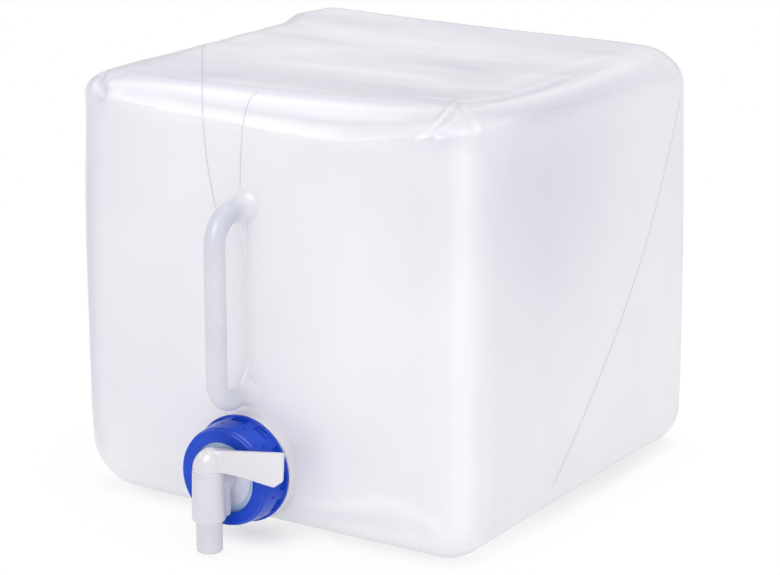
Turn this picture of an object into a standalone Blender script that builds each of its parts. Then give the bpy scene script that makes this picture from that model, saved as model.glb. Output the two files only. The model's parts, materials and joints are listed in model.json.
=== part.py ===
"""Collapsible water carrier: a soft moulded box with a carry handle, a screw cap and a plug tap.

Metres, +Z up. The origin is the middle of the flat foot. The face with the handle and the tap looks
along -Y. "Out" is a distance in front of that face, counted along -Y from y = -BODY_DEPTH / 2.
"""
import math

import bmesh
import bpy
from mathutils import Matrix, Vector

# Container
BODY_WIDTH = 0.280
BODY_DEPTH = 0.282
BODY_HEIGHT = 0.262
EDGE_RADIUS = 0.029
FILM = 0.0008
FACE_BULGE = 0.003
TOP_SAG = 0.0085
TOP_EDGE_SAG = 0.0045
EDGE_SEGMENTS = 5
FACE_PANES = 6
BULGE_FALL_OFF = 8
SEAM_ANGLE = math.radians(45)

# Clearances, and how far a cutter or a joined shape runs past what it meets
FIT_GAP = 0.0003
SEAM_GAP = 0.0005
RUNNING_GAP = 0.0002
OVERRUN = 0.002
ROOT_SINK = 0.0145
MERGE = 0.00002

# Neck, moulded with the container; its axis is just high enough for the tap's outlet to clear the floor
NECK_X = -0.006
FLOOR_GAP = 0.002
OUTLET_DROP = 0.040
BOSS_RADIUS = 0.0325
BOSS_HEIGHT = 0.008
BOSS_FILLET = 0.002
NECK_RADIUS = 0.0246
NECK_WALL = 0.003
NECK_REACH = 0.0225

# Thread shared by the neck and the cap
THREAD_PITCH = 0.005
THREAD_HEIGHT = 0.0018
THREAD_BASE = 0.0022
THREAD_CREST = 0.0012
THREAD_START = 0.004
THREAD_CLEARANCE = 0.0006
THREAD_SINK = 0.0005
THREAD_END_SHARE = 0.15
THREAD_RUNOUT_SHARE = 0.28
NECK_THREAD_TURNS = 1.5
CAP_THREAD_TURNS = 1.25

# Washer between the tap's flange and the neck's rim
WASHER_THICKNESS = 0.002
WASHER_BORE_RADIUS = 0.0176

# Screw cap
CAP_LIP = 0.0034
CAP_HOLD = 0.0026
CAP_WALL_FRONT = 0.0021
CAP_WALL_REAR = 0.0044
CAP_RIM_WALL = 0.0053
CAP_RIM_THICKNESS = 0.0022
CAP_RING_INSET = 0.0004
CAP_FILLET = 0.0014
CAP_STEP = 0.0006
CAP_RING_WIDTH = 0.0030
CAP_FOOT_GAP = 0.0012
POCKET_COUNT = 12
POCKET_LENGTH = 0.0105
POCKET_WIDTH = 0.0046
POCKET_DEPTH = 0.0013
POCKET_TURN = math.radians(3)
DIMPLE_SIZE = 0.0020
DIMPLE_DEPTH = 0.0006
DIMPLE_BACK = 0.0099

# Tap body
FLANGE_THICKNESS = 0.0016
HUB_RADIUS = 0.0176
HUB_HEIGHT = 0.0007
HUB_FILLET = 0.0020
BARREL_RADIUS = 0.0090
BARREL_BORE_RADIUS = 0.0055
BARREL_SHOWN = 0.0035
CHAMBER_WALL_TOP = 0.0021
CHAMBER_WALL_FOOT = 0.0027
CHAMBER_DROP = 0.0200
CHAMBER_CHAMFER = 0.0024
CHAMBER_FLOOR_WALL = 0.0040
OUTLET_BORE_RADIUS = 0.0055
OUTLET_WALL = 0.00215
OUTLET_FILLET = 0.0010
SHOULDER_WIDTH = 0.0140
SHOULDER_BACK = 0.0106
SHOULDER_BEVEL = 0.0020

# Valve plug with its lever; heights are above the chamber's top
PLUG_RADIUS = 0.0070
PLUG_WALL = 0.0020
PLUG_FOOT_GAP = 0.0005
PLUG_ROOF_GAP = 0.0013
PLUG_WINDOW_RADIUS = 0.0042
PLUG_BEAD = 0.0004
PLUG_BEAD_DROP = 0.0114
HEAD_INSET = 0.0002
HEAD_SKIRT = 0.0057
HEAD_DOME = 0.0086
LEVER_BACK_ANGLE = math.radians(20)
LEVER_LENGTH = 0.0449
LEVER_END_SLANT = 0.0008
LEVER_TIP_CUT = 0.0059
LEVER_ROOT_INSET = 0.0006
LEVER_ROOT_RISE = 0.0004
LEVER_ROOT_HEIGHT = 0.0124
LEVER_TIP_RISE = 0.0136
LEVER_END_HEIGHT = 0.0172
LEVER_TIP_HEIGHT = 0.0210
LEVER_THICKNESS = 0.0034
LEVER_BEVEL = 0.0007

# Carry handle
HANDLE_RADIUS = 0.0062
HANDLE_OUT = 0.0336
HANDLE_LOW = 0.0864
HANDLE_HIGH = 0.1974
HANDLE_LOW_BEND = 0.0110
HANDLE_HIGH_BEND = 0.0150
HANDLE_ROOT_LENGTH = 0.0100
HANDLE_ROOT_RADIUS = 0.0088
HANDLE_BEND_STEPS = 7
HANDLE_ARM_STEPS = 5

# Roundness of the turned pieces
LARGE_STEPS = 56
SMALL_STEPS = 36
THREAD_STEPS = 28
DOME_STEPS = 6
FILLET_STEPS = 3
SMOOTH_ANGLE = math.radians(30)

COLOURS = {
    "film": ((0.86, 0.87, 0.93, 1.0), 0.22),
    "milky_plastic": ((0.85, 0.85, 0.88, 1.0), 0.35),
    "blue_plastic": ((0.03, 0.10, 0.62, 1.0), 0.30),
    "washer_rubber": ((0.72, 0.72, 0.70, 1.0), 0.70),
}

# Places along the neck's axis, out of the face
WASHER_REAR = NECK_REACH + FIT_GAP
WASHER_FRONT = WASHER_REAR + WASHER_THICKNESS
FLANGE_REAR = WASHER_FRONT + FIT_GAP
FLANGE_FRONT = FLANGE_REAR + FLANGE_THICKNESS
LIP_REAR = FLANGE_FRONT + FIT_GAP
CAP_FRONT = LIP_REAR + CAP_LIP
CAP_REAR = BOSS_HEIGHT + CAP_FOOT_GAP

# Radii about the neck's axis
NECK_BORE_RADIUS = NECK_RADIUS - NECK_WALL
CAP_BORE_RADIUS = NECK_RADIUS + THREAD_HEIGHT + THREAD_CLEARANCE
CAP_CREST_RADIUS = NECK_RADIUS + THREAD_CLEARANCE
CAP_CONE_FRONT_RADIUS = CAP_BORE_RADIUS + CAP_WALL_FRONT
CAP_CONE_REAR_RADIUS = CAP_BORE_RADIUS + CAP_WALL_REAR
CAP_RIM_RADIUS = CAP_BORE_RADIUS + CAP_RIM_WALL
CAP_FRONT_RADIUS = CAP_CONE_FRONT_RADIUS - CAP_RING_INSET
FLANGE_RADIUS = CAP_CREST_RADIUS - THREAD_CLEARANCE
CAP_HOLE_RADIUS = FLANGE_RADIUS - CAP_HOLD
SPIGOT_RADIUS = WASHER_BORE_RADIUS - FIT_GAP

# Radii and heights of the tap
NECK_Z = FLOOR_GAP + OUTLET_DROP
CHAMBER_BORE_RADIUS = PLUG_RADIUS + RUNNING_GAP
CHAMBER_TOP_RADIUS = CHAMBER_BORE_RADIUS + CHAMBER_WALL_TOP
CHAMBER_FOOT_RADIUS = CHAMBER_BORE_RADIUS + CHAMBER_WALL_FOOT
CHAMBER_TOP = NECK_Z + BARREL_RADIUS + FIT_GAP
CHAMBER_FOOT = NECK_Z - CHAMBER_DROP
CHAMBER_FLOOR = CHAMBER_FOOT + CHAMBER_FLOOR_WALL
OUTLET_RADIUS = OUTLET_BORE_RADIUS + OUTLET_WALL
OUTLET_END = FLOOR_GAP
TAP_OUT = CAP_FRONT + BARREL_SHOWN + CHAMBER_FOOT_RADIUS
PLUG_FOOT = CHAMBER_FLOOR + PLUG_FOOT_GAP
PLUG_BORE_RADIUS = PLUG_RADIUS - PLUG_WALL
PLUG_ROOF = NECK_Z + PLUG_WINDOW_RADIUS + PLUG_ROOF_GAP
PLUG_BEAD_HEIGHT = NECK_Z - PLUG_BEAD_DROP
HEAD_RADIUS = CHAMBER_TOP_RADIUS - HEAD_INSET
HEAD_FOOT = CHAMBER_TOP + FIT_GAP
HEAD_SHOULDER = HEAD_FOOT + HEAD_SKIRT
HEAD_TOP = HEAD_SHOULDER + HEAD_DOME
LEVER_ROOT_FOOT = CHAMBER_TOP + LEVER_ROOT_RISE
LEVER_ROOT_TOP = LEVER_ROOT_FOOT + LEVER_ROOT_HEIGHT
LEVER_TIP_TOP = CHAMBER_TOP + LEVER_TIP_RISE

# Places of the container
FACE_Y = -BODY_DEPTH / 2
SEAM_DEPTH = EDGE_RADIUS * (1 - math.cos(SEAM_ANGLE))


def empty_scene():
    for obj in list(bpy.data.objects):
        bpy.data.objects.remove(obj)


def collection(name):
    made = bpy.data.collections.new(name)
    bpy.context.scene.collection.children.link(made)
    return made


def plastic(name):
    colour, roughness = COLOURS[name]
    material = bpy.data.materials.new(name)
    material.use_nodes = True
    shader = material.node_tree.nodes["Principled BSDF"]
    shader.inputs["Base Color"].default_value = colour
    shader.inputs["Roughness"].default_value = roughness
    shader.inputs["Metallic"].default_value = 0.0
    material.diffuse_color = colour
    return material


def add_object(name, mesh, group, parent=None):
    obj = bpy.data.objects.new(name, mesh)
    group.objects.link(obj)
    obj.parent = parent
    return obj


def mark_cutter(obj):
    obj.hide_render = True
    obj.display_type = "WIRE"


def finish_part(obj, material):
    obj.data.materials.clear()
    obj.data.materials.append(material)
    for polygon in obj.data.polygons:
        polygon.use_smooth = True
    if obj.data.polygons:
        obj.data.set_sharp_from_angle(angle=SMOOTH_ANGLE)


def mesh_from(bm, name):
    mesh = bpy.data.meshes.new(name)
    bm.to_mesh(mesh)
    bm.free()
    return mesh


def turned(name, profile, steps, group, parent=None, closed=True):
    """A profile of (radius, height) points in local XZ, turned about local Z by a Screw modifier."""
    bm = bmesh.new()
    points = [bm.verts.new((radius, 0, height)) for radius, height in profile]
    for first, second in zip(points, points[1:]):
        bm.edges.new((first, second))
    if closed:
        bm.edges.new((points[-1], points[0]))
    obj = add_object(name, mesh_from(bm, name), group, parent)
    screw = obj.modifiers.new("turn", "SCREW")
    screw.axis = "Z"
    screw.steps = steps
    screw.render_steps = steps
    screw.use_merge_vertices = True
    screw.merge_threshold = MERGE
    screw.use_smooth_shade = True
    return obj


def combine(target, tool, operation):
    step = target.modifiers.new(operation.lower(), "BOOLEAN")
    step.operation = operation
    step.solver = "EXACT"
    step.object = tool


def fillet(centre, radius, first, last):
    """Points of a quarter round in a profile: centre (radius, height), angles in degrees."""
    points = []
    for step in range(FILLET_STEPS + 1):
        angle = math.radians(first + (last - first) * step / FILLET_STEPS)
        points.append((centre[0] + radius * math.cos(angle), centre[1] + radius * math.sin(angle)))
    return points


def box_object(name, size, group, parent=None, place=(0, 0, 0)):
    bm = bmesh.new()
    bmesh.ops.create_cube(bm, size=1)
    bmesh.ops.scale(bm, vec=size, verts=bm.verts)
    bmesh.ops.translate(bm, vec=place, verts=bm.verts)
    return add_object(name, mesh_from(bm, name), group, parent)


# Container


def soften(co, width, depth, height):
    """Moves a point of the plain rounded box to where the filled, slack film stands."""
    across = co.x / (width / 2)
    along = co.y / (depth / 2)
    up = (co.z - BODY_HEIGHT / 2) / (height / 2)
    crown_front = max(0, 1 - across ** 2) * max(0, 1 - up ** 2)
    crown_side = max(0, 1 - along ** 2) * max(0, 1 - up ** 2)
    crown_top = max(0, 1 - across ** 2) * max(0, 1 - along ** 2)
    to_corner = min(1, abs(co.x) / (width / 2 - EDGE_RADIUS)) * min(1, abs(co.y) / (depth / 2 - EDGE_RADIUS))
    edge_slack = 1 - to_corner ** 2
    near_front = abs(along) ** BULGE_FALL_OFF
    near_side = abs(across) ** BULGE_FALL_OFF
    near_top = max(0, up) ** BULGE_FALL_OFF
    return Vector((
        co.x + math.copysign(FACE_BULGE * crown_side * near_side, across),
        co.y + math.copysign(FACE_BULGE * crown_front * near_front, along),
        co.z - near_top * (TOP_EDGE_SAG * edge_slack + (TOP_SAG - TOP_EDGE_SAG) * crown_top),
    ))


def soft_box(growth):
    """The container's closed outer skin, moved outwards by growth."""
    width = BODY_WIDTH + 2 * growth
    depth = BODY_DEPTH + 2 * growth
    height = BODY_HEIGHT + 2 * growth
    radius = EDGE_RADIUS + growth
    bm = bmesh.new()
    bmesh.ops.create_cube(bm, size=1)
    bmesh.ops.scale(bm, vec=(width, depth, height), verts=bm.verts)
    bmesh.ops.translate(bm, vec=(0, 0, BODY_HEIGHT / 2), verts=bm.verts)
    bmesh.ops.bevel(
        bm, geom=list(bm.edges), offset=radius, offset_type="OFFSET", segments=EDGE_SEGMENTS,
        profile=0.5, affect="EDGES",
    )
    flats = (
        (Vector((1, 0, 0)), width / 2 - radius, 0),
        (Vector((0, 1, 0)), depth / 2 - radius, 0),
        (Vector((0, 0, 1)), height / 2 - radius, BODY_HEIGHT / 2),
    )
    for direction, half, middle in flats:
        for pane in range(1, FACE_PANES):
            offset = middle + half * (2 * pane / FACE_PANES - 1)
            bmesh.ops.bisect_plane(
                bm, geom=list(bm.verts) + list(bm.edges) + list(bm.faces), dist=MERGE,
                plane_co=direction * offset, plane_no=direction,
            )
    for vert in bm.verts:
        vert.co = soften(vert.co, width, depth, height)
    bmesh.ops.recalc_face_normals(bm, faces=bm.faces)
    return bm


def skin_piece(name, low, high, group):
    """The part of the skin between two planes of constant y, as a film of the container's thickness."""
    bm = soft_box(0)
    for offset, keep_sign in ((low, 1), (high, -1)):
        if offset is None:
            continue
        bmesh.ops.bisect_plane(
            bm, geom=list(bm.verts) + list(bm.edges) + list(bm.faces), dist=MERGE,
            plane_co=(0, offset, 0), plane_no=(0, keep_sign, 0), clear_inner=True,
        )
    obj = add_object(name, mesh_from(bm, name), group)
    shell = obj.modifiers.new("film", "SOLIDIFY")
    shell.thickness = FILM
    shell.offset = -1
    shell.use_even_offset = True
    return obj


def build_container(parts, film):
    seam = BODY_DEPTH / 2 - SEAM_DEPTH
    half_gap = SEAM_GAP / 2
    front = skin_piece("front_wall", None, -seam - half_gap, parts)
    folding = skin_piece("folding_walls", -seam + half_gap, seam - half_gap, parts)
    back = skin_piece("back_wall", seam + half_gap, None, parts)
    for piece in (front, folding, back):
        finish_part(piece, film)
    return front, folding, back


def build_body_cutter(cutters):
    cutter = add_object("body_clearance", mesh_from(soft_box(FIT_GAP), "body_clearance"), cutters)
    mark_cutter(cutter)
    return cutter


# Threaded joint


def thread_ridge(name, root_radius, crest_radius, start, turns, group, parent):
    """A helical ridge from root_radius to crest_radius, thinned to nothing at both ends."""
    sink = math.copysign(THREAD_SINK, root_radius - crest_radius)
    steps = round(THREAD_STEPS * turns)
    bm = bmesh.new()
    rings = []
    for step in range(steps + 1):
        angle = math.tau * turns * step / steps
        rise = start + THREAD_PITCH * turns * step / steps
        from_end = min(step, steps - step) / THREAD_STEPS
        taper = min(1, THREAD_END_SHARE + from_end / THREAD_RUNOUT_SHARE)
        crest = root_radius + (crest_radius - root_radius) * taper
        section = (
            (root_radius + sink, -THREAD_BASE / 2),
            (root_radius + sink, THREAD_BASE / 2),
            (crest, THREAD_CREST / 2),
            (crest, -THREAD_CREST / 2),
        )
        ring = []
        for radius, height in section:
            ring.append(bm.verts.new((radius * math.cos(angle), radius * math.sin(angle), rise + height)))
        rings.append(ring)
    for ring, following in zip(rings, rings[1:]):
        for corner in range(4):
            nearby = (corner + 1) % 4
            bm.faces.new((ring[corner], ring[nearby], following[nearby], following[corner]))
    bm.faces.new(rings[0])
    bm.faces.new(rings[-1])
    bmesh.ops.recalc_face_normals(bm, faces=bm.faces)
    ridge = add_object(name, mesh_from(bm, name), group, parent)
    mark_cutter(ridge)
    return ridge


def build_neck(parts, cutters, body_cutter, neck_axis, film):
    profile = [(NECK_BORE_RADIUS, NECK_REACH), (NECK_RADIUS, NECK_REACH), (NECK_RADIUS, BOSS_HEIGHT)]
    profile += fillet((BOSS_RADIUS - BOSS_FILLET, BOSS_HEIGHT - BOSS_FILLET), BOSS_FILLET, 90, 0)
    profile += [(BOSS_RADIUS, -ROOT_SINK), (NECK_BORE_RADIUS, -ROOT_SINK)]
    neck = turned("threaded_neck", profile, LARGE_STEPS, parts, neck_axis)
    ridge = thread_ridge(
        "neck_thread", NECK_RADIUS, NECK_RADIUS + THREAD_HEIGHT, BOSS_HEIGHT + THREAD_START,
        NECK_THREAD_TURNS, cutters, neck_axis,
    )
    combine(neck, ridge, "UNION")
    combine(neck, body_cutter, "DIFFERENCE")
    finish_part(neck, film)
    return neck


def cut_mouth(front, cutters, neck_axis):
    profile = [(0, ROOT_SINK), (NECK_BORE_RADIUS, ROOT_SINK), (NECK_BORE_RADIUS, -ROOT_SINK), (0, -ROOT_SINK)]
    mouth = turned("mouth_cutter", profile, LARGE_STEPS, cutters, neck_axis, closed=False)
    mark_cutter(mouth)
    combine(front, mouth, "DIFFERENCE")


def build_washer(parts, neck_axis, rubber):
    profile = [
        (WASHER_BORE_RADIUS, WASHER_FRONT), (NECK_RADIUS, WASHER_FRONT),
        (NECK_RADIUS, WASHER_REAR), (WASHER_BORE_RADIUS, WASHER_REAR),
    ]
    washer = turned("flange_washer", profile, LARGE_STEPS, parts, neck_axis)
    finish_part(washer, rubber)
    return washer


# Screw cap


def cap_radius_at(out):
    """Outer radius of the cap's cone at a distance out of the face."""
    share = (out - CAP_REAR) / (CAP_FRONT - CAP_REAR)
    return CAP_CONE_REAR_RADIUS + (CAP_CONE_FRONT_RADIUS - CAP_CONE_REAR_RADIUS) * share


def ring_of_boxes(name, count, size, radius, out, turn, group, parent):
    """Boxes round the neck's axis: size is (along the rim, into the wall, along the axis)."""
    bm = bmesh.new()
    for number in range(count):
        angle = math.pi / 2 - turn - math.tau * number / count
        made = bmesh.ops.create_cube(bm, size=1)["verts"]
        bmesh.ops.scale(bm, vec=(size[1], size[0], size[2]), verts=made)
        bmesh.ops.translate(bm, vec=(radius, 0, out), verts=made)
        bmesh.ops.rotate(bm, verts=made, cent=(0, 0, 0), matrix=Matrix.Rotation(angle, 3, "Z"))
    obj = add_object(name, mesh_from(bm, name), group, parent)
    mark_cutter(obj)
    return obj


def build_cap(parts, cutters, neck_axis, blue):
    rim_front = CAP_REAR + CAP_RIM_THICKNESS
    step_out = CAP_FRONT - CAP_RING_WIDTH
    cone_radius = cap_radius_at(step_out)
    profile = [(CAP_HOLE_RADIUS, CAP_FRONT)]
    profile += fillet((CAP_FRONT_RADIUS - CAP_FILLET, CAP_FRONT - CAP_FILLET), CAP_FILLET, 90, 0)
    profile += [
        (CAP_FRONT_RADIUS, step_out + CAP_STEP),
        (cone_radius - CAP_STEP, step_out + CAP_STEP / 2),
        (cone_radius, step_out),
        (cap_radius_at(rim_front), rim_front),
        (CAP_RIM_RADIUS, rim_front),
        (CAP_RIM_RADIUS, CAP_REAR),
        (CAP_BORE_RADIUS, CAP_REAR),
        (CAP_BORE_RADIUS, LIP_REAR),
        (CAP_HOLE_RADIUS, LIP_REAR),
    ]
    cap = turned("screw_cap", profile, LARGE_STEPS, parts, neck_axis)
    ridge = thread_ridge(
        "cap_thread", CAP_BORE_RADIUS, CAP_CREST_RADIUS,
        BOSS_HEIGHT + THREAD_START + THREAD_PITCH / 2, CAP_THREAD_TURNS, cutters, neck_axis,
    )
    combine(cap, ridge, "UNION")
    pocket_out = rim_front + POCKET_WIDTH / 2
    pocket_radius = cap_radius_at(pocket_out) - POCKET_DEPTH + OVERRUN
    pockets = ring_of_boxes(
        "pocket_cutters", POCKET_COUNT, (POCKET_LENGTH, 2 * OVERRUN, POCKET_WIDTH),
        pocket_radius, pocket_out, POCKET_TURN, cutters, neck_axis,
    )
    combine(cap, pockets, "DIFFERENCE")
    dimple_out = CAP_FRONT - DIMPLE_BACK
    dimple_radius = cap_radius_at(dimple_out) - DIMPLE_DEPTH + OVERRUN
    dimples = ring_of_boxes(
        "dimple_cutters", POCKET_COUNT, (DIMPLE_SIZE, 2 * OVERRUN, DIMPLE_SIZE), dimple_radius,
        dimple_out, POCKET_TURN + math.pi / POCKET_COUNT, cutters, neck_axis,
    )
    combine(cap, dimples, "DIFFERENCE")
    finish_part(cap, blue)
    return cap


# Tap


def build_tap_body(parts, cutters, neck_axis, tap_axis, milky):
    hub_front = FLANGE_FRONT + HUB_HEIGHT
    profile = [(0, TAP_OUT), (BARREL_RADIUS, TAP_OUT), (BARREL_RADIUS, hub_front + HUB_FILLET)]
    profile += fillet((BARREL_RADIUS + HUB_FILLET, hub_front + HUB_FILLET), HUB_FILLET, 180, 270)[1:]
    profile += [
        (HUB_RADIUS, hub_front), (HUB_RADIUS, FLANGE_FRONT), (FLANGE_RADIUS, FLANGE_FRONT),
        (FLANGE_RADIUS, FLANGE_REAR), (SPIGOT_RADIUS, FLANGE_REAR), (SPIGOT_RADIUS, WASHER_REAR),
        (0, WASHER_REAR),
    ]
    body = turned("tap_body", profile, LARGE_STEPS, parts, neck_axis, closed=False)

    outlet_top = CHAMBER_FOOT - CHAMBER_CHAMFER
    profile = [(0, CHAMBER_TOP), (CHAMBER_TOP_RADIUS, CHAMBER_TOP), (CHAMBER_FOOT_RADIUS, CHAMBER_FOOT),
               (OUTLET_RADIUS, outlet_top)]
    profile += fillet((OUTLET_RADIUS - OUTLET_FILLET, OUTLET_END + OUTLET_FILLET), OUTLET_FILLET, 0, -90)
    profile += [(0, OUTLET_END)]
    chamber = turned("tap_chamber", profile, SMALL_STEPS, cutters, tap_axis, closed=False)
    mark_cutter(chamber)
    combine(body, chamber, "UNION")

    shoulder_height = NECK_Z - CHAMBER_FOOT
    shoulder = box_object(
        "tap_shoulder", (SHOULDER_WIDTH, SHOULDER_BACK, shoulder_height), cutters, tap_axis,
        (0, SHOULDER_BACK / 2, CHAMBER_FOOT + shoulder_height / 2),
    )
    rounding = shoulder.modifiers.new("rounding", "BEVEL")
    rounding.width = SHOULDER_BEVEL
    rounding.segments = 2
    mark_cutter(shoulder)
    combine(body, shoulder, "UNION")

    barrel_bore = turned(
        "barrel_bore_cutter",
        [(0, TAP_OUT), (BARREL_BORE_RADIUS, TAP_OUT), (BARREL_BORE_RADIUS, 0), (0, 0)],
        SMALL_STEPS, cutters, neck_axis, closed=False,
    )
    mark_cutter(barrel_bore)
    combine(body, barrel_bore, "DIFFERENCE")

    groove_radius = CHAMBER_BORE_RADIUS + PLUG_BEAD
    chamber_bore = turned(
        "chamber_bore_cutter",
        [(0, CHAMBER_TOP + OVERRUN), (CHAMBER_BORE_RADIUS, CHAMBER_TOP + OVERRUN),
         (CHAMBER_BORE_RADIUS, PLUG_BEAD_HEIGHT + 3 * PLUG_BEAD),
         (groove_radius, PLUG_BEAD_HEIGHT + 2 * PLUG_BEAD),
         (groove_radius, PLUG_BEAD_HEIGHT - 2 * PLUG_BEAD),
         (CHAMBER_BORE_RADIUS, PLUG_BEAD_HEIGHT - 3 * PLUG_BEAD),
         (CHAMBER_BORE_RADIUS, CHAMBER_FLOOR), (OUTLET_BORE_RADIUS, CHAMBER_FLOOR),
         (OUTLET_BORE_RADIUS, OUTLET_END - OVERRUN), (0, OUTLET_END - OVERRUN)],
        SMALL_STEPS, cutters, tap_axis, closed=False,
    )
    mark_cutter(chamber_bore)
    combine(body, chamber_bore, "DIFFERENCE")
    finish_part(body, milky)
    return body


def build_plug(parts, cutters, plug_axis, milky):
    profile = [(0, HEAD_TOP)]
    for step in range(1, DOME_STEPS + 1):
        angle = math.pi / 2 * step / DOME_STEPS
        profile.append((
            HEAD_RADIUS * math.sin(angle),
            HEAD_SHOULDER + (HEAD_TOP - HEAD_SHOULDER) * math.cos(angle),
        ))
    profile += [
        (HEAD_RADIUS, HEAD_FOOT), (PLUG_RADIUS, HEAD_FOOT),
        (PLUG_RADIUS, PLUG_BEAD_HEIGHT + 2 * PLUG_BEAD),
        (PLUG_RADIUS + PLUG_BEAD, PLUG_BEAD_HEIGHT + PLUG_BEAD),
        (PLUG_RADIUS + PLUG_BEAD, PLUG_BEAD_HEIGHT - PLUG_BEAD),
        (PLUG_RADIUS, PLUG_BEAD_HEIGHT - 2 * PLUG_BEAD),
        (PLUG_RADIUS, PLUG_FOOT), (PLUG_BORE_RADIUS, PLUG_FOOT),
        (PLUG_BORE_RADIUS, PLUG_ROOF), (0, PLUG_ROOF),
    ]
    plug = turned("tap_plug", profile, SMALL_STEPS, parts, plug_axis, closed=False)

    outline = (
        (0, LEVER_ROOT_FOOT), (HEAD_RADIUS - LEVER_ROOT_INSET, LEVER_ROOT_FOOT),
        (LEVER_LENGTH - LEVER_TIP_CUT, LEVER_TIP_TOP - LEVER_TIP_HEIGHT),
        (LEVER_LENGTH - LEVER_END_SLANT, LEVER_TIP_TOP - LEVER_END_HEIGHT),
        (LEVER_LENGTH, LEVER_TIP_TOP), (0, LEVER_ROOT_TOP),
    )
    curve = bpy.data.curves.new("lever_outline", "CURVE")
    curve.dimensions = "2D"
    curve.fill_mode = "BOTH"
    curve.extrude = LEVER_THICKNESS / 2
    spline = curve.splines.new("POLY")
    spline.points.add(len(outline) - 1)
    for point, (along, height) in zip(spline.points, outline):
        point.co = (along, height, 0, 1)
    spline.use_cyclic_u = True
    drawn = add_object("lever_curve", curve, cutters, plug_axis)
    drawn.rotation_euler = (math.pi / 2, 0, 0)
    lever = curve_to_mesh(drawn, "lever_blade", cutters)
    rounding = lever.modifiers.new("rounding", "BEVEL")
    rounding.width = LEVER_BEVEL
    rounding.segments = 2
    mark_cutter(lever)
    combine(plug, lever, "UNION")

    window = turned(
        "window_cutter",
        [(0, 0), (PLUG_WINDOW_RADIUS, 0), (PLUG_WINDOW_RADIUS, -2 * PLUG_RADIUS), (0, -2 * PLUG_RADIUS)],
        SMALL_STEPS, cutters, plug_axis, closed=False,
    )
    window.location = (0, 0, NECK_Z)
    window.rotation_euler = (0, math.pi / 2, 0)
    mark_cutter(window)
    combine(plug, window, "DIFFERENCE")
    finish_part(plug, milky)
    return plug


# Carry handle


def curve_to_mesh(obj, name, group):
    """A mesh object in the place of a curve object, with its caps welded on."""
    bpy.context.view_layer.update()
    graph = bpy.context.evaluated_depsgraph_get()
    mesh = bpy.data.meshes.new_from_object(obj.evaluated_get(graph))
    mesh.name = name
    bm = bmesh.new()
    bm.from_mesh(mesh)
    bmesh.ops.remove_doubles(bm, verts=bm.verts, dist=MERGE)
    bmesh.ops.recalc_face_normals(bm, faces=bm.faces)
    bm.to_mesh(mesh)
    bm.free()
    made = bpy.data.objects.new(name, mesh)
    group.objects.link(made)
    made.matrix_world = obj.matrix_world
    bpy.data.objects.remove(obj)
    return made


def handle_route():
    """Points (out, height, radius) along the middle of the handle, from its low root to its high root."""
    route = []
    low_start = HANDLE_OUT - HANDLE_LOW_BEND
    high_start = HANDLE_OUT - HANDLE_HIGH_BEND
    for step in range(HANDLE_ARM_STEPS):
        out = (low_start + ROOT_SINK) * step / HANDLE_ARM_STEPS - ROOT_SINK
        route.append((out, HANDLE_LOW))
    for step in range(HANDLE_BEND_STEPS + 1):
        angle = math.pi / 2 * step / HANDLE_BEND_STEPS
        route.append((low_start + HANDLE_LOW_BEND * math.sin(angle),
                      HANDLE_LOW + HANDLE_LOW_BEND * (1 - math.cos(angle))))
    for step in range(HANDLE_BEND_STEPS + 1):
        angle = math.pi / 2 * step / HANDLE_BEND_STEPS
        route.append((high_start + HANDLE_HIGH_BEND * math.cos(angle),
                      HANDLE_HIGH - HANDLE_HIGH_BEND * (1 - math.sin(angle))))
    for step in range(1, HANDLE_ARM_STEPS + 1):
        out = high_start - (high_start + ROOT_SINK) * step / HANDLE_ARM_STEPS
        route.append((out, HANDLE_HIGH))
    points = []
    for out, height in route:
        share = min(1, max(0, 1 - out / HANDLE_ROOT_LENGTH))
        points.append((out, height, HANDLE_RADIUS + (HANDLE_ROOT_RADIUS - HANDLE_RADIUS) * share ** 2))
    return points


def build_handle(parts, cutters, body_cutter, film):
    route = handle_route()
    curve = bpy.data.curves.new("handle_route", "CURVE")
    curve.dimensions = "3D"
    curve.bevel_depth = HANDLE_RADIUS
    curve.bevel_resolution = 4
    curve.use_fill_caps = True
    spline = curve.splines.new("POLY")
    spline.points.add(len(route) - 1)
    for point, (out, height, radius) in zip(spline.points, route):
        point.co = (NECK_X, FACE_Y - out, height, 1)
        point.radius = radius / HANDLE_RADIUS
    drawn = add_object("handle_curve", curve, cutters)
    handle = curve_to_mesh(drawn, "carry_handle", parts)
    combine(handle, body_cutter, "DIFFERENCE")
    finish_part(handle, film)
    return handle


def build():
    empty_scene()
    parts = collection("collapsible_water_carrier")
    cutters = collection("cutters")
    film = plastic("film")
    milky = plastic("milky_plastic")
    blue = plastic("blue_plastic")
    rubber = plastic("washer_rubber")

    neck_axis = add_object("neck_axis", None, cutters)
    neck_axis.location = (NECK_X, FACE_Y, NECK_Z)
    neck_axis.rotation_euler = (math.pi / 2, 0, 0)
    tap_axis = add_object("tap_axis", None, cutters)
    tap_axis.location = (NECK_X, FACE_Y - TAP_OUT, 0)
    plug_axis = add_object("plug_axis", None, cutters)
    plug_axis.location = tap_axis.location
    plug_axis.rotation_euler = (0, 0, LEVER_BACK_ANGLE)

    body_cutter = build_body_cutter(cutters)
    front, folding, back = build_container(parts, film)
    cut_mouth(front, cutters, neck_axis)
    build_neck(parts, cutters, body_cutter, neck_axis, film)
    build_washer(parts, neck_axis, rubber)
    build_cap(parts, cutters, neck_axis, blue)
    build_tap_body(parts, cutters, neck_axis, tap_axis, milky)
    build_plug(parts, cutters, plug_axis, milky)
    build_handle(parts, cutters, body_cutter, film)


build()
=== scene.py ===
# %% [markdown]
# # A collapsible water carrier
#
# This file dresses a soft, folding water carrier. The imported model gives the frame: every wall, the
# cap, the tap and the joints have their real size and place there. Here each of them gets the surface
# that the eye expects, as a finer mesh that stands in the same place and moves with the same body.
# It runs from top to bottom, one piece after another.

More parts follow.
